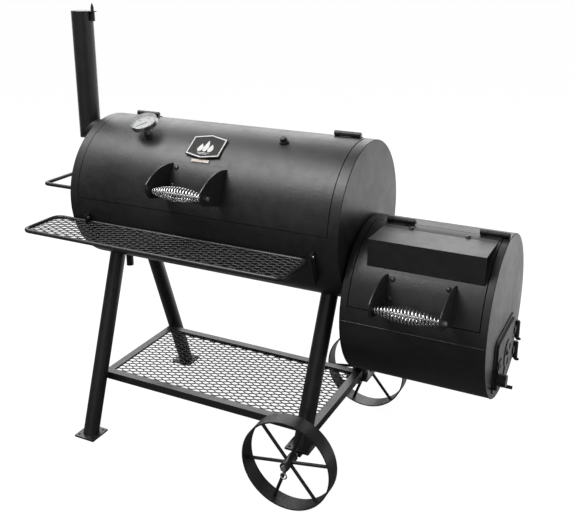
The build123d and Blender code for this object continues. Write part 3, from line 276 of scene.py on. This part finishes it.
drumPaint = makePaint("drumPaint", paintLook)
framePaint = makePaint("framePaint", dict(paintLook, dark=0.009, light=0.021, roughLow=0.3, roughHigh=0.42))
meshPaint = makePaint("meshPaint", dict(paintLook, dark=0.022, light=0.048, roughLow=0.3, roughHigh=0.45))
chromeWire = makeChrome("chromeWire", chromeLook)
gaugeSteel = makeSteel("gaugeSteel", dict(steelLook, bright=0.55, rough=0.2))
zincSteel = makeSteel("zincSteel", steelLook)
darkBolt = makePaint("darkBolt", dict(paintLook, dark=0.014, light=0.03, roughLow=0.26, roughHigh=0.4))
# seam lip and chimney weld paint, lighter and glossier than the drum: a painted highlight along the beads
lipHighlightPaint = makePaint("lipHighlightPaint", dict(paintLook, dark=0.03, light=0.05, roughLow=0.25, roughHigh=0.35))
bracketLook = dict(paintLook, dark=0.014, light=0.026, roughLow=0.3, roughHigh=0.4)
bracketPaint = makePaint("bracketPaint", bracketLook)
grateEnamel = makeIron("grateEnamel", ironLook)
dialPrint = makePrint("dialPrint", printLook)
inkPrint = makePrint("inkPrint", dict(printLook, bright=0.02, rough=0.45))
plaqueEnamel = makePrint("plaqueEnamel", dict(printLook, bright=0.012, rough=0.35, shine=0.12))
palePrint = makePrint("palePrint", dict(printLook, bright=0.58, warm=0.02))
creamEnamel = makePrint("creamEnamel", dict(printLook, bright=0.42, warm=0.16))
redPrint = makeRedPrint("redPrint", redLook)
gaugeGlass = makeGlass("gaugeGlass", glassLook)

slotFinish = {"black_paint": drumPaint, "black_frame": framePaint, "grate_iron": grateEnamel}
nodeFinish = {  # nodes whose finish isn't their slot's
    "gauge_case": gaugeSteel, "gauge_nut": zincSteel, "gauge_dial": dialPrint, "gauge_needle": inkPrint,
    "gauge_glass": gaugeGlass, "plaque": plaqueEnamel, "nameplate": creamEnamel, "axle": zincSteel,
    "frame_fasteners": zincSteel, "hinge_pins": darkBolt,
    "main_handle_bracket": bracketPaint, "firebox_handle_bracket": bracketPaint,
    "main_handle_fasteners": zincSteel, "firebox_lid_fasteners": zincSteel,
}


def paintNodes():
    slots = {part["node"]: part["material_slot"] for part in frame["record"]["subparts"]}
    for name, item in frame["nodes"].items():
        material = nodeFinish.get(name) or slotFinish.get(slots[name])
        if material:
            for holder in item.material_slots:
                holder.material = material


paintNodes()
print("finishes made")


def middle(name):
    low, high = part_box(name)
    return (Vector(low) + Vector(high)) / 2


def settle(item, body, material, slot, *nodes):
    # gives a finished piece its finish, its body and the nodes it stands for
    item.data.materials.clear()
    item.data.materials.append(material)
    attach(item, body)
    if nodes:
        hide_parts(*nodes)


def addItem(name, data):
    item = bpy.data.objects.new(name, data)
    bpy.context.scene.collection.objects.link(item)
    return item


def addMesh(name, points, faces):
    mesh = bpy.data.meshes.new(name)
    mesh.from_pydata([tuple(point) for point in points], [], faces)
    mesh.update()
    return addItem(name, mesh)


def plainCopy(name, holder):
    # swaps a modified mesh or a text for a plain mesh of its result
    graph = bpy.context.evaluated_depsgraph_get()
    mesh = bpy.data.meshes.new_from_object(holder.evaluated_get(graph))
    bpy.data.objects.remove(holder)
    return addItem(name, mesh)


def joinMeshes(name, items):
    joined = bmesh.new()
    for item in items:
        joined.from_mesh(item.data)
        bpy.data.objects.remove(item)
    mesh = bpy.data.meshes.new(name)
    joined.to_mesh(mesh)
    joined.free()
    return addItem(name, mesh)


def shiftMesh(item, matrix):
    item.data.transform(matrix)
    item.data.update()


def geometryTree(name, sizes):
    # empty Geometry Nodes tree with one float input for each size
    tree = bpy.data.node_groups.new(name, "GeometryNodeTree")
    tree.interface.new_socket("Geometry", in_out="INPUT", socket_type="NodeSocketGeometry")
    for label in sizes:
        tree.interface.new_socket(label, in_out="INPUT", socket_type="NodeSocketFloat")
    tree.interface.new_socket("Geometry", in_out="OUTPUT", socket_type="NodeSocketGeometry")
    source = tree.nodes.new("NodeGroupInput")
    return tree, Wire(tree), {label: Wire(tree, source.outputs[label]) for label in ["Geometry", *sizes]}


def closeTree(net, geometry, material):
    solid = net.node("GeometryNodeRealizeInstances", {}, {"Geometry": geometry})
    painted = net.node("GeometryNodeSetMaterial", {}, {"Geometry": solid, "Material": material})
    net.node("NodeGroupOutput", {}, {"Geometry": painted})


def runTree(name, tree, sizes, source=None):
    # runs the tree on a holder, keeps the result as a plain mesh
    holder = addItem(name, source or bpy.data.meshes.new(name))
    change = holder.modifiers.new(name, "NODES")
    change.node_group = tree
    for socket in tree.interface.items_tree:
        if socket.in_out == "INPUT" and socket.name in sizes:
            change[socket.identifier] = float(sizes[socket.name])
    return plainCopy(name, holder)


def combine(net, x, y, z):
    return net.node("ShaderNodeCombineXYZ", {}, {"X": x, "Y": y, "Z": z})


def rowOf(net, count):
    return net.node("GeometryNodeMeshLine", {}, {"Count": count})


def indexOf(net):
    return net.node("GeometryNodeInputIndex", {}, {})


def movedTo(net, geometry, position):
    return net.node("GeometryNodeSetPosition", {}, {"Geometry": geometry, "Position": position})


def asCurve(net, line):
    return net.node("GeometryNodeMeshToCurve", {}, {"Mesh": line})


def sweep(net, curve, profile):
    sockets = {"Curve": curve, "Profile Curve": profile, "Fill Caps": True}
    return net.node("GeometryNodeCurveToMesh", {}, sockets)


def circle(net, radius, steps):
    return net.node("GeometryNodeCurvePrimitiveCircle", {}, {"Resolution": steps, "Radius": radius})


def strip(net, width, height):
    return net.node("GeometryNodeCurvePrimitiveQuadrilateral", {}, {"Width": width, "Height": height})


def smoothTube(net, curve, radius, sides):
    solid = sweep(net, curve, circle(net, radius, sides))
    return net.node("GeometryNodeSetShadeSmooth", {}, {"Geometry": solid})


springSizes = {"turns": 19.0, "wire": 0.0021, "endRadius": 0.0066, "pointsPerTurn": 22, "sides": 8}


def makeSpringTree(sizes):
    labels = ["Left", "Length", "CentreY", "CentreZ", "Middle radius", "End radius"]
    tree, net, given = geometryTree("coilSpring", labels)
    count = int(sizes["turns"] * sizes["pointsPerTurn"])
    share = indexOf(net) / (count - 1.0)
    swell = net.math("SINE", share * pi)
    radius = given["End radius"] + (given["Middle radius"] - given["End radius"]) * swell
    angle = share * (2 * pi * sizes["turns"])
    path = combine(
        net,
        given["Left"] + given["Length"] * share,
        given["CentreY"] + radius * net.math("COSINE", angle),
        given["CentreZ"] + radius * net.math("SINE", angle),
    )
    curve = asCurve(net, movedTo(net, rowOf(net, count), path))
    closeTree(net, smoothTube(net, curve, sizes["wire"], sizes["sides"]), chromeWire)
    return tree


def makeSpring(name, node, body, tree, sizes):
    low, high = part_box(node)
    centre = middle(node)
    wire = sizes["wire"]
    item = runTree(name, tree, {
        "Left": low[0] + wire, "Length": high[0] - low[0] - 2 * wire,
        "CentreY": centre.y, "CentreZ": centre.z,
        "Middle radius": (high[2] - low[2]) / 2 - wire, "End radius": sizes["endRadius"],
    })
    settle(item, body, chromeWire, "chrome_wire", node)


springTree = makeSpringTree(springSizes)
makeSpring("mainCoil", "main_handle_spring", "main_spring", springTree, springSizes)
makeSpring("fireboxCoil", "firebox_handle_spring", "firebox_spring", springTree, springSizes)
print("springs made")


meshSizes = {  # expanded metal of both shelves
    "long": 0.0425, "short": 0.0184, "bond": 0.0064, "strandWide": 0.0031, "strandThick": 0.0013,
    "frontTrim": 0.003, "bottomTrim": 0.002,
}


def makeLatticeTree(sizes):
    labels = ["Left", "Right", "Front", "Level", "Rows", "Row pitch", "Columns"]
    tree, net, given = geometryTree("expandedMetal", labels)
    cell = (given["Right"] - given["Left"]) / given["Columns"]
    row = indexOf(net)
    shift = net.math("MODULO", row, 2.0) * cell * 0.5  # every other row moves on by half a cell
    starts = combine(net, shift, given["Front"] + given["Row pitch"] * (row + 0.5), given["Level"])
    rows = movedTo(net, rowOf(net, given["Rows"]), starts)
    # a strand has four points to a cell: both ends of a low bond, then both ends of a high one
    step = indexOf(net)
    high = net.math("GREATER_THAN", net.math("MODULO", step, 4.0), 1.5)
    bondEnd = net.math("MODULO", step, 2.0) - 0.5
    along = net.math("FLOOR", step * 0.5) * cell * 0.5 + bondEnd * sizes["bond"]
    swing = (high - 0.5) * (given["Row pitch"] - sizes["strandThick"])
    rise = (high - 0.5) * sizes["strandThick"]
    strand = movedTo(net, rowOf(net, given["Columns"] * 4.0 + 2.0), combine(net, along, swing, rise))
    copies = net.node("GeometryNodeInstanceOnPoints", {}, {"Points": rows, "Instance": strand})
    loose = net.node("GeometryNodeRealizeInstances", {}, {"Geometry": copies})
    spot = net.node("GeometryNodeInputPosition", {}, {})
    onward = net.math("MAXIMUM", axisOf(net, spot, "X") + given["Left"], given["Left"])
    trimmed = net.math("MINIMUM", onward, given["Right"])
    sheet = movedTo(net, loose, combine(net, trimmed, axisOf(net, spot, "Y"), axisOf(net, spot, "Z")))
    section = strip(net, sizes["strandThick"], sizes["strandWide"])
    closeTree(net, sweep(net, asCurve(net, sheet), section), meshPaint)
    return tree


def makeLattice(name, node, tree, sizes, trim):
    low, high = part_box(node)
    columns = round((high[0] - low[0] - 2 * trim) / sizes["long"])
    rows = round((high[1] - low[1] - 2 * trim) / sizes["short"] * 2)
    item = runTree(name, tree, {
        "Left": low[0] + trim, "Right": high[0] - trim, "Front": low[1] + trim,
        "Level": (low[2] + high[2]) / 2,
        "Rows": rows, "Row pitch": (high[1] - low[1] - 2 * trim) / rows, "Columns": columns,
    })
    settle(item, "frame", meshPaint, "black_frame", node)


latticeTree = makeLatticeTree(meshSizes)
makeLattice("frontShelfLattice", "front_shelf_mesh", latticeTree, meshSizes, meshSizes["frontTrim"])
makeLattice("bottomShelfLattice", "bottom_shelf_mesh", latticeTree, meshSizes, meshSizes["bottomTrim"])
print("shelf meshes made")


def facing(out, centre):
    # frame at a point, with a direction as its Z and the object's own X
    side = Vector((1, 0, 0))
    turn = Matrix((side, out.cross(side), out)).transposed().to_4x4()
    return Matrix.Translation(centre) @ turn


def pointsIn(matrix, name):
    # a node's corners as a frame sees them
    inverse = matrix.inverted()
    item = frame["nodes"][name]
    return [inverse @ (item.matrix_world @ vertex.co) for vertex in item.data.vertices]


def outOf(drum, spot):
    # square to a drum's axis, from the axis towards a point
    return Vector((0, spot.y - drum.y, spot.z - drum.z)).normalized()


dialSizes = {
    "tickRadius": 0.0335, "tickCount": 41, "tickLong": 0.0045, "tickShort": 0.0024, "tickWide": 0.0007,
    "every": 5, "majorWider": 0.8, "thick": 0.00025, "sweep": 270.0, "start": 225.0, "faceFrom": 0.02,
    "numberRadius": 0.0245, "numberSize": 0.0072, "numberSteps": 3,
    "numbers": ("100", "200", "300", "400", "500"),
    "zoneRadius": 0.0295, "zoneWide": 0.0032, "zoneSteps": 24, "zoneFrom": 18.0, "zoneTo": -45.0,
}


def makeTickTree(sizes):
    tree, net, given = geometryTree("dialTicks", ["Count", "Radius", "Start", "Sweep"])
    step = indexOf(net)
    angle = given["Start"] - given["Sweep"] * step / (given["Count"] - 1.0)
    x = given["Radius"] * net.math("COSINE", angle)
    y = given["Radius"] * net.math("SINE", angle)
    major = net.math("LESS_THAN", net.math("MODULO", step, float(sizes["every"])), 0.5)
    length = sizes["tickShort"] + (sizes["tickLong"] - sizes["tickShort"]) * major
    width = sizes["tickWide"] * (1.0 + major * sizes["majorWider"])
    ticks = net.node("GeometryNodeInstanceOnPoints", {}, {
        "Points": movedTo(net, rowOf(net, given["Count"]), combine(net, x, y, 0.0)),
        "Instance": net.node("GeometryNodeMeshCube", {}, {}), "Rotation": combine(net, 0.0, 0.0, angle),
        "Scale": combine(net, length, width, sizes["thick"]),
    })
    closeTree(net, ticks, inkPrint)
    return tree


def makeZoneTree(sizes):
    tree, net, given = geometryTree("dialZone", ["Radius", "From", "Turn"])
    arc = net.node("GeometryNodeCurveArc", {}, {
        "Resolution": sizes["zoneSteps"], "Radius": given["Radius"],
        "Start Angle": given["From"], "Sweep Angle": given["Turn"],
    })
    closeTree(net, sweep(net, arc, strip(net, sizes["zoneWide"], sizes["thick"])), redPrint)
    return tree


def makeNumber(text, angle, sizes):
    name = "dialNumber"
    data = bpy.data.curves.new(name, "FONT")
    data.body = text
    data.size = sizes["numberSize"]
    data.extrude = sizes["thick"] / 2
    data.align_x = "CENTER"
    data.align_y = "CENTER"
    data.resolution_u = sizes["numberSteps"]
    item = plainCopy(name, addItem(name, data))
    x, y = sizes["numberRadius"] * cos(angle), sizes["numberRadius"] * sin(angle)
    shiftMesh(item, Matrix.Translation((x, y, 0)))
    return item


def makeDial(sizes):
    joint = next(row for row in frame["joints"] if row["name"] == "gauge_needle_turn")
    dial = facing(Vector(joint["axis"]).normalized(), joint["pos_m"])
    # the face is the dial's highest level away from the boss on its axis
    level = max(point.z for point in pointsIn(dial, "gauge_dial") if point.xy.length > sizes["faceFrom"])
    flat = dial @ Matrix.Translation((0, 0, level + sizes["thick"] / 2))
    start, turn = radians(sizes["start"]), radians(sizes["sweep"])
    ticks = runTree("dialTickRing", makeTickTree(sizes), {
        "Count": sizes["tickCount"], "Radius": sizes["tickRadius"], "Start": start, "Sweep": turn,
    })
    last = len(sizes["numbers"]) - 1
    words = []
    for index, text in enumerate(sizes["numbers"]):
        words.append(makeNumber(text, start - turn * index / last, sizes))
    ink = joinMeshes("dialInk", [ticks, *words])
    shiftMesh(ink, flat)
    settle(ink, "lid", inkPrint, "gauge_face")
    zone = runTree("dialZoneArc", makeZoneTree(sizes), {
        "Radius": sizes["zoneRadius"], "From": radians(sizes["zoneTo"]),
        "Turn": radians(sizes["zoneFrom"] - sizes["zoneTo"]),
    })
    shiftMesh(zone, flat)
    settle(zone, "lid", redPrint, "gauge_face")


makeDial(dialSizes)
print("dial made")


plaqueSizes = {
    "edge": 0.0022, "rim": 0.0034, "raise": 0.0007, "sink": 0.0001, "sideBand": 0.001,
    "flames": ((-0.017, 0.030), (0.0, 0.044), (0.017, 0.030)), "flameWide": 0.0085, "flameFoot": -0.021,
    "flameSteps": 20, "flameTaper": 0.55, "flameSwell": 1.25, "flameLean": 0.35,
    "bars": (-0.0265, -0.031), "barWide": 0.040, "barHigh": 0.0018, "barShorter": 0.3,
}


def prism(name, outline, hole, sizes):
    # flat solid from just inside the plaque to its raised top, with an optional hole of as many corners
    count = len(outline)
    levels = (-sizes["sink"], sizes["raise"])
    points = [(x, y, level) for level in levels for x, y in outline]
    points += [(x, y, level) for level in levels for x, y in hole]
    faces = [] if hole else [tuple(reversed(range(count))), tuple(range(count, 2 * count))]
    for i in range(count):
        j = (i + 1) % count
        faces.append((i, j, count + j, count + i))
        if hole:
            faces.append((2 * count + j, 2 * count + i, 3 * count + i, 3 * count + j))
            faces.append((count + i, count + j, 3 * count + j, 3 * count + i))
            faces.append((j, i, 2 * count + i, 2 * count + j))
    return addMesh(name, points, faces)


def flameOutline(x, height, sizes):
    # teardrop with a tip that leans to one side
    points = []
    for index in range(sizes["flameSteps"]):
        turn = 2 * pi * index / sizes["flameSteps"]
        rise = (1 - cos(turn)) / 2
        swell = sin(turn) * (1 - rise) ** sizes["flameTaper"] * sizes["flameSwell"]
        lean = sizes["flameLean"] * sizes["flameWide"] * sin(pi * rise) * rise
        points.append((x + sizes["flameWide"] * swell + lean, sizes["flameFoot"] + height * rise))
    return points


def hexagon(half, shoulder, peak, inset):
    x, y, tip = half - inset, shoulder - inset, peak - inset
    return [(x, -y), (x, y), (0, tip), (-x, y), (-x, -y), (0, -tip)]


def makePlaqueTrim(sizes):
    centre = middle("plaque")
    matrix = facing(outOf(middle("barrel_left_end"), centre), centre)
    points = pointsIn(matrix, "plaque")
    half = max(point.x for point in points)
    peak = max(point.y for point in points)
    shoulder = max(point.y for point in points if point.x > half - sizes["sideBand"])
    outside = hexagon(half, shoulder, peak, sizes["edge"])
    inside = hexagon(half, shoulder, peak, sizes["edge"] + sizes["rim"])
    pieces = [prism("plaqueRim", outside, inside, sizes)]
    for x, height in sizes["flames"]:
        pieces.append(prism("plaqueFlame", flameOutline(x, height, sizes), [], sizes))
    for index, low in enumerate(sizes["bars"]):
        x, high = sizes["barWide"] / 2 * (1 - sizes["barShorter"] * index), low + sizes["barHigh"]
        pieces.append(prism("plaqueBar", [(-x, low), (x, low), (x, high), (-x, high)], [], sizes))
    trim = joinMeshes("plaqueTrim", pieces)
    shiftMesh(trim, matrix @ Matrix.Translation((0, 0, max(point.z for point in points))))
    settle(trim, "lid", palePrint, "plaque_face")


makePlaqueTrim(plaqueSizes)
print("plaque made")


boltSizes = {"radius": 0.0076, "height": 0.0049, "segments": 18, "rings": 9, "largest": 0.02}


def islands(name):
    # the node's separate solids, each as a list of points
    item = frame["nodes"][name]
    keys, owner = [], {}
    for vertex in item.data.vertices:
        spot = item.matrix_world @ vertex.co
        keys.append(tuple(round(value, 5) for value in spot))  # corners less than 0.01 mm apart are one

    def root(key):
        while owner.setdefault(key, key) != key:
            key = owner[key]
        return key

    for polygon in item.data.polygons:
        first = root(keys[polygon.vertices[0]])
        for corner in polygon.vertices[1:]:
            owner[root(keys[corner])] = first
    groups = {}
    for key in set(keys):
        groups.setdefault(root(key), []).append(Vector(key))
    return sorted(groups.values(), key=lambda points: (round(points[0].x, 3), round(points[0].z, 3)))


def makeHeadTree(sizes):
    tree, net, given = geometryTree("boltHeads", ["Radius", "Height"])
    ball = net.node("GeometryNodeMeshUVSphere", {}, {
        "Segments": sizes["segments"], "Rings": sizes["rings"], "Radius": 1.0,
    })
    axis = net.node("GeometryNodeInputNamedAttribute", {"data_type": "FLOAT_VECTOR"}, {"Name": "axis"})
    heads = net.node("GeometryNodeInstanceOnPoints", {}, {
        "Points": given["Geometry"], "Instance": ball,
        "Rotation": net.node("FunctionNodeAlignRotationToVector", {"axis": "Z"}, {"Vector": axis}),
        "Scale": combine(net, given["Radius"], given["Radius"], given["Height"]),
    })
    closeTree(net, net.node("GeometryNodeSetShadeSmooth", {}, {"Geometry": heads}), darkBolt)
    return tree


def makeHeads(name, node, body, drumEnd, tree, sizes):
    # domed heads on the node's small solids, which are its bolts; its rod is longer
    drum = middle(drumEnd)
    spots, axes = [], []
    for points in islands(node):
        centre = sum(points, Vector()) / len(points)
        if max((point - centre).length for point in points) > sizes["largest"]:
            continue
        out = outOf(drum, centre)
        foot = min((point - centre).dot(out) for point in points)
        spots.append(tuple(centre + out * foot))
        axes.append(out)
    mesh = bpy.data.meshes.new(name)
    mesh.from_pydata(spots, [], [])
    attribute = mesh.attributes.new("axis", "FLOAT_VECTOR", "POINT")
    for row, out in zip(attribute.data, axes):
        row.vector = out
    item = runTree(name, tree, {"Radius": sizes["radius"], "Height": sizes["height"]}, mesh)
    settle(item, body, darkBolt, "bare_steel")
    print(name, len(spots))


headTree = makeHeadTree(boltSizes)
makeHeads("mainBracketBolts", "main_handle_fasteners", "lid", "barrel_left_end", headTree, boltSizes)
makeHeads("fireboxBracketBolts", "firebox_lid_fasteners", "firebox_lid", "firebox_left_end",
          headTree, boltSizes)
print("bolt heads made")


lipSizes = {"radius": 0.0017, "sides": 10}
weldSizes = {"bead": 0.0024, "sides": 10, "steps": 90, "ripple": 0.0007, "rippleScale": 420.0}


def makeLipTree(sizes):
    tree, net, given = geometryTree("seamLip", ["Left", "Right", "Front", "Rear", "Level", "Radius"])
    rods = []
    for side in ("Front", "Rear"):
        line = net.node("GeometryNodeCurvePrimitiveLine", {}, {
            "Start": combine(net, given["Left"], given[side], given["Level"]),
            "End": combine(net, given["Right"], given[side], given["Level"]),
        })
        rods.append(smoothTube(net, line, given["Radius"], sizes["sides"]))
    closeTree(net, net.node("GeometryNodeJoinGeometry", {}, {"Geometry": rods}), lipHighlightPaint)
    return tree


def makeLips(sizes):
    # edge of the firebox's upper half where it laps the lower one, in lighter paint as a painted highlight line
    upperLow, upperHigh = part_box("firebox_upper_shell")
    lowerLow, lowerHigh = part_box("firebox_lower_shell")
    lips = runTree("fireboxSeamLip", makeLipTree(sizes), {
        "Left": upperLow[0] + sizes["radius"], "Right": upperHigh[0] - sizes["radius"],
        "Front": lowerLow[1], "Rear": lowerHigh[1], "Level": upperLow[2], "Radius": sizes["radius"],
    })
    settle(lips, "frame", lipHighlightPaint, "black_paint")


def makeWeldTree(sizes):
    tree, net, given = geometryTree("ringWeld", ["X", "Y", "Z", "Radius", "Bead"])
    spot = net.node("GeometryNodeInputPosition", {}, {})
    wobble = (noise(net, spot, sizes["rippleScale"]) - 0.5) * (2 * sizes["ripple"])
    across, up = given["Y"] + axisOf(net, spot, "X"), given["Z"] + axisOf(net, spot, "Y")
    ring = movedTo(net, circle(net, given["Radius"], sizes["steps"]),
                   combine(net, given["X"] + wobble, across, up))
    closeTree(net, smoothTube(net, ring, given["Bead"], sizes["sides"]), lipHighlightPaint)
    return tree


def makeWeld(sizes):
    # bead where the chimney's elbow meets the drum's end, in lighter paint as a painted highlight
    low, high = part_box("chimney_elbow")
    radius = (high[1] - low[1]) / 2
    weld = runTree("chimneyWeld", makeWeldTree(sizes), {
        "X": high[0], "Y": (low[1] + high[1]) / 2, "Z": low[2] + radius,
        "Radius": radius, "Bead": sizes["bead"],
    })
    settle(weld, "frame", lipHighlightPaint, "black_paint")


makeLips(lipSizes)
makeWeld(weldSizes)
print("lips and weld made")


cameraSizes = {
    "place": (1.0700, -2.0457, 1.5093), "azimuth": 26.52, "pitch": 17.24,
    "lens": 50.73, "sensor": 36.0, "shiftY": -0.1, "farClip": 60.0,
}


def makeCamera(sizes):
    data = bpy.data.cameras.new("camera")
    data.lens = sizes["lens"]
    data.sensor_width = sizes["sensor"]
    data.shift_y = sizes["shiftY"]
    data.clip_end = sizes["farClip"]
    camera = addItem("camera", data)
    camera.location = sizes["place"]
    camera.rotation_euler = (radians(90 - sizes["pitch"]), 0, radians(sizes["azimuth"]))
    bpy.context.scene.camera = camera


studioLights = {
    "softbox": {"place": (-1.3, -1.0, 3.5), "target": (0, 0, 0.8), "size": (2.8, 1.5), "power": 125.0},
    "back": {"place": (-1.5, 3.4, 2.8), "target": (0, 0, 0.9), "size": (6.4, 2.6), "power": 170.0},
    "front": {"place": (0.6, -4.5, 1.2), "target": (0, 0, 0.6), "size": (4.0, 1.6), "power": 9.0},
    "side": {"place": (3.4, -0.6, 1.9), "target": (0.3, 0, 0.6), "size": (1.6, 2.0), "power": 22.0},
}


def makeLights(lights):
    for name, sizes in lights.items():
        data = bpy.data.lights.new(name, "AREA")
        data.shape = "RECTANGLE"
        data.size, data.size_y = sizes["size"]
        data.energy = sizes["power"]
        lamp = addItem(name, data)
        lamp.location = sizes["place"]
        direction = Vector(sizes["target"]) - lamp.location
        lamp.rotation_euler = direction.to_track_quat("-Z", "Y").to_euler()


floorSizes = {
    "size": 30.0, "drop": 0.0005, "white": 1.08, "whiteShare": 0.9,
    "fleckScale": 6.0, "fleckTones": (0.9, 0.94),
    "darkTone": 0.12, "glow": 1.5, "glowFrom": 0.2, "glowTo": 1.6,
}


def mixShaders(net, factor, first, second):
    return net.node("ShaderNodeMixShader", {}, {0: factor, 1: first, 2: second})


def makeFloor(sizes):
    # white to the eye, dark in front and bright behind in what the object reflects
    material, net, spot = newFinish("studioFloor")
    fleck = noise(net, spot, sizes["fleckScale"], detail=3.0)
    tones = [grey(level) for level in sizes["fleckTones"]]
    pale = net.node("ShaderNodeBsdfDiffuse", {}, {"Color": blend(net, fleck, *tones)})
    white = net.node("ShaderNodeEmission", {}, {"Color": grey(1.0), "Strength": sizes["white"]})
    glow = net.node("ShaderNodeEmission", {}, {"Color": grey(1.0), "Strength": sizes["glow"]})
    dull = net.node("ShaderNodeBsdfDiffuse", {}, {"Color": grey(sizes["darkTone"])})
    rise = band(net, axisOf(net, spot, "Y"), sizes["glowFrom"], sizes["glowTo"])
    seen = net.node("ShaderNodeLightPath", {}, {}, "Is Camera Ray")
    mirrored = mixShaders(net, rise, dull, glow)
    both = mixShaders(net, seen, mirrored, mixShaders(net, sizes["whiteShare"], pale, white))
    net.node("ShaderNodeOutputMaterial", {}, {"Surface": both})
    size = sizes["size"]
    corners = [(-size, -size, 0), (size, -size, 0), (size, size, 0), (-size, size, 0)]
    floor = addMesh("studioFloor", corners, [(0, 1, 2, 3)])
    floor.location.z = -sizes["drop"]
    floor.data.materials.append(material)


skySizes = {"shown": 1.0, "mirrored": 0.2}


def makeSky(sizes):
    # white sky behind, and a much dimmer one in what the object reflects
    world = bpy.data.worlds.new("studio")
    bpy.context.scene.world = world
    world.use_nodes = True
    world.node_tree.nodes.clear()
    net = Wire(world.node_tree)
    seen = net.node("ShaderNodeLightPath", {}, {}, "Is Camera Ray")
    dim = net.node("ShaderNodeBackground", {}, {"Color": grey(1.0), "Strength": sizes["mirrored"]})
    white = net.node("ShaderNodeBackground", {}, {"Color": grey(1.0), "Strength": sizes["shown"]})
    net.node("ShaderNodeOutputWorld", {}, {"Surface": mixShaders(net, seen, dim, white)})


makeCamera(cameraSizes)
makeLights(studioLights)
makeFloor(floorSizes)
makeSky(skySizes)
bpy.context.scene.view_settings.view_transform = "Standard"
print("studio made")
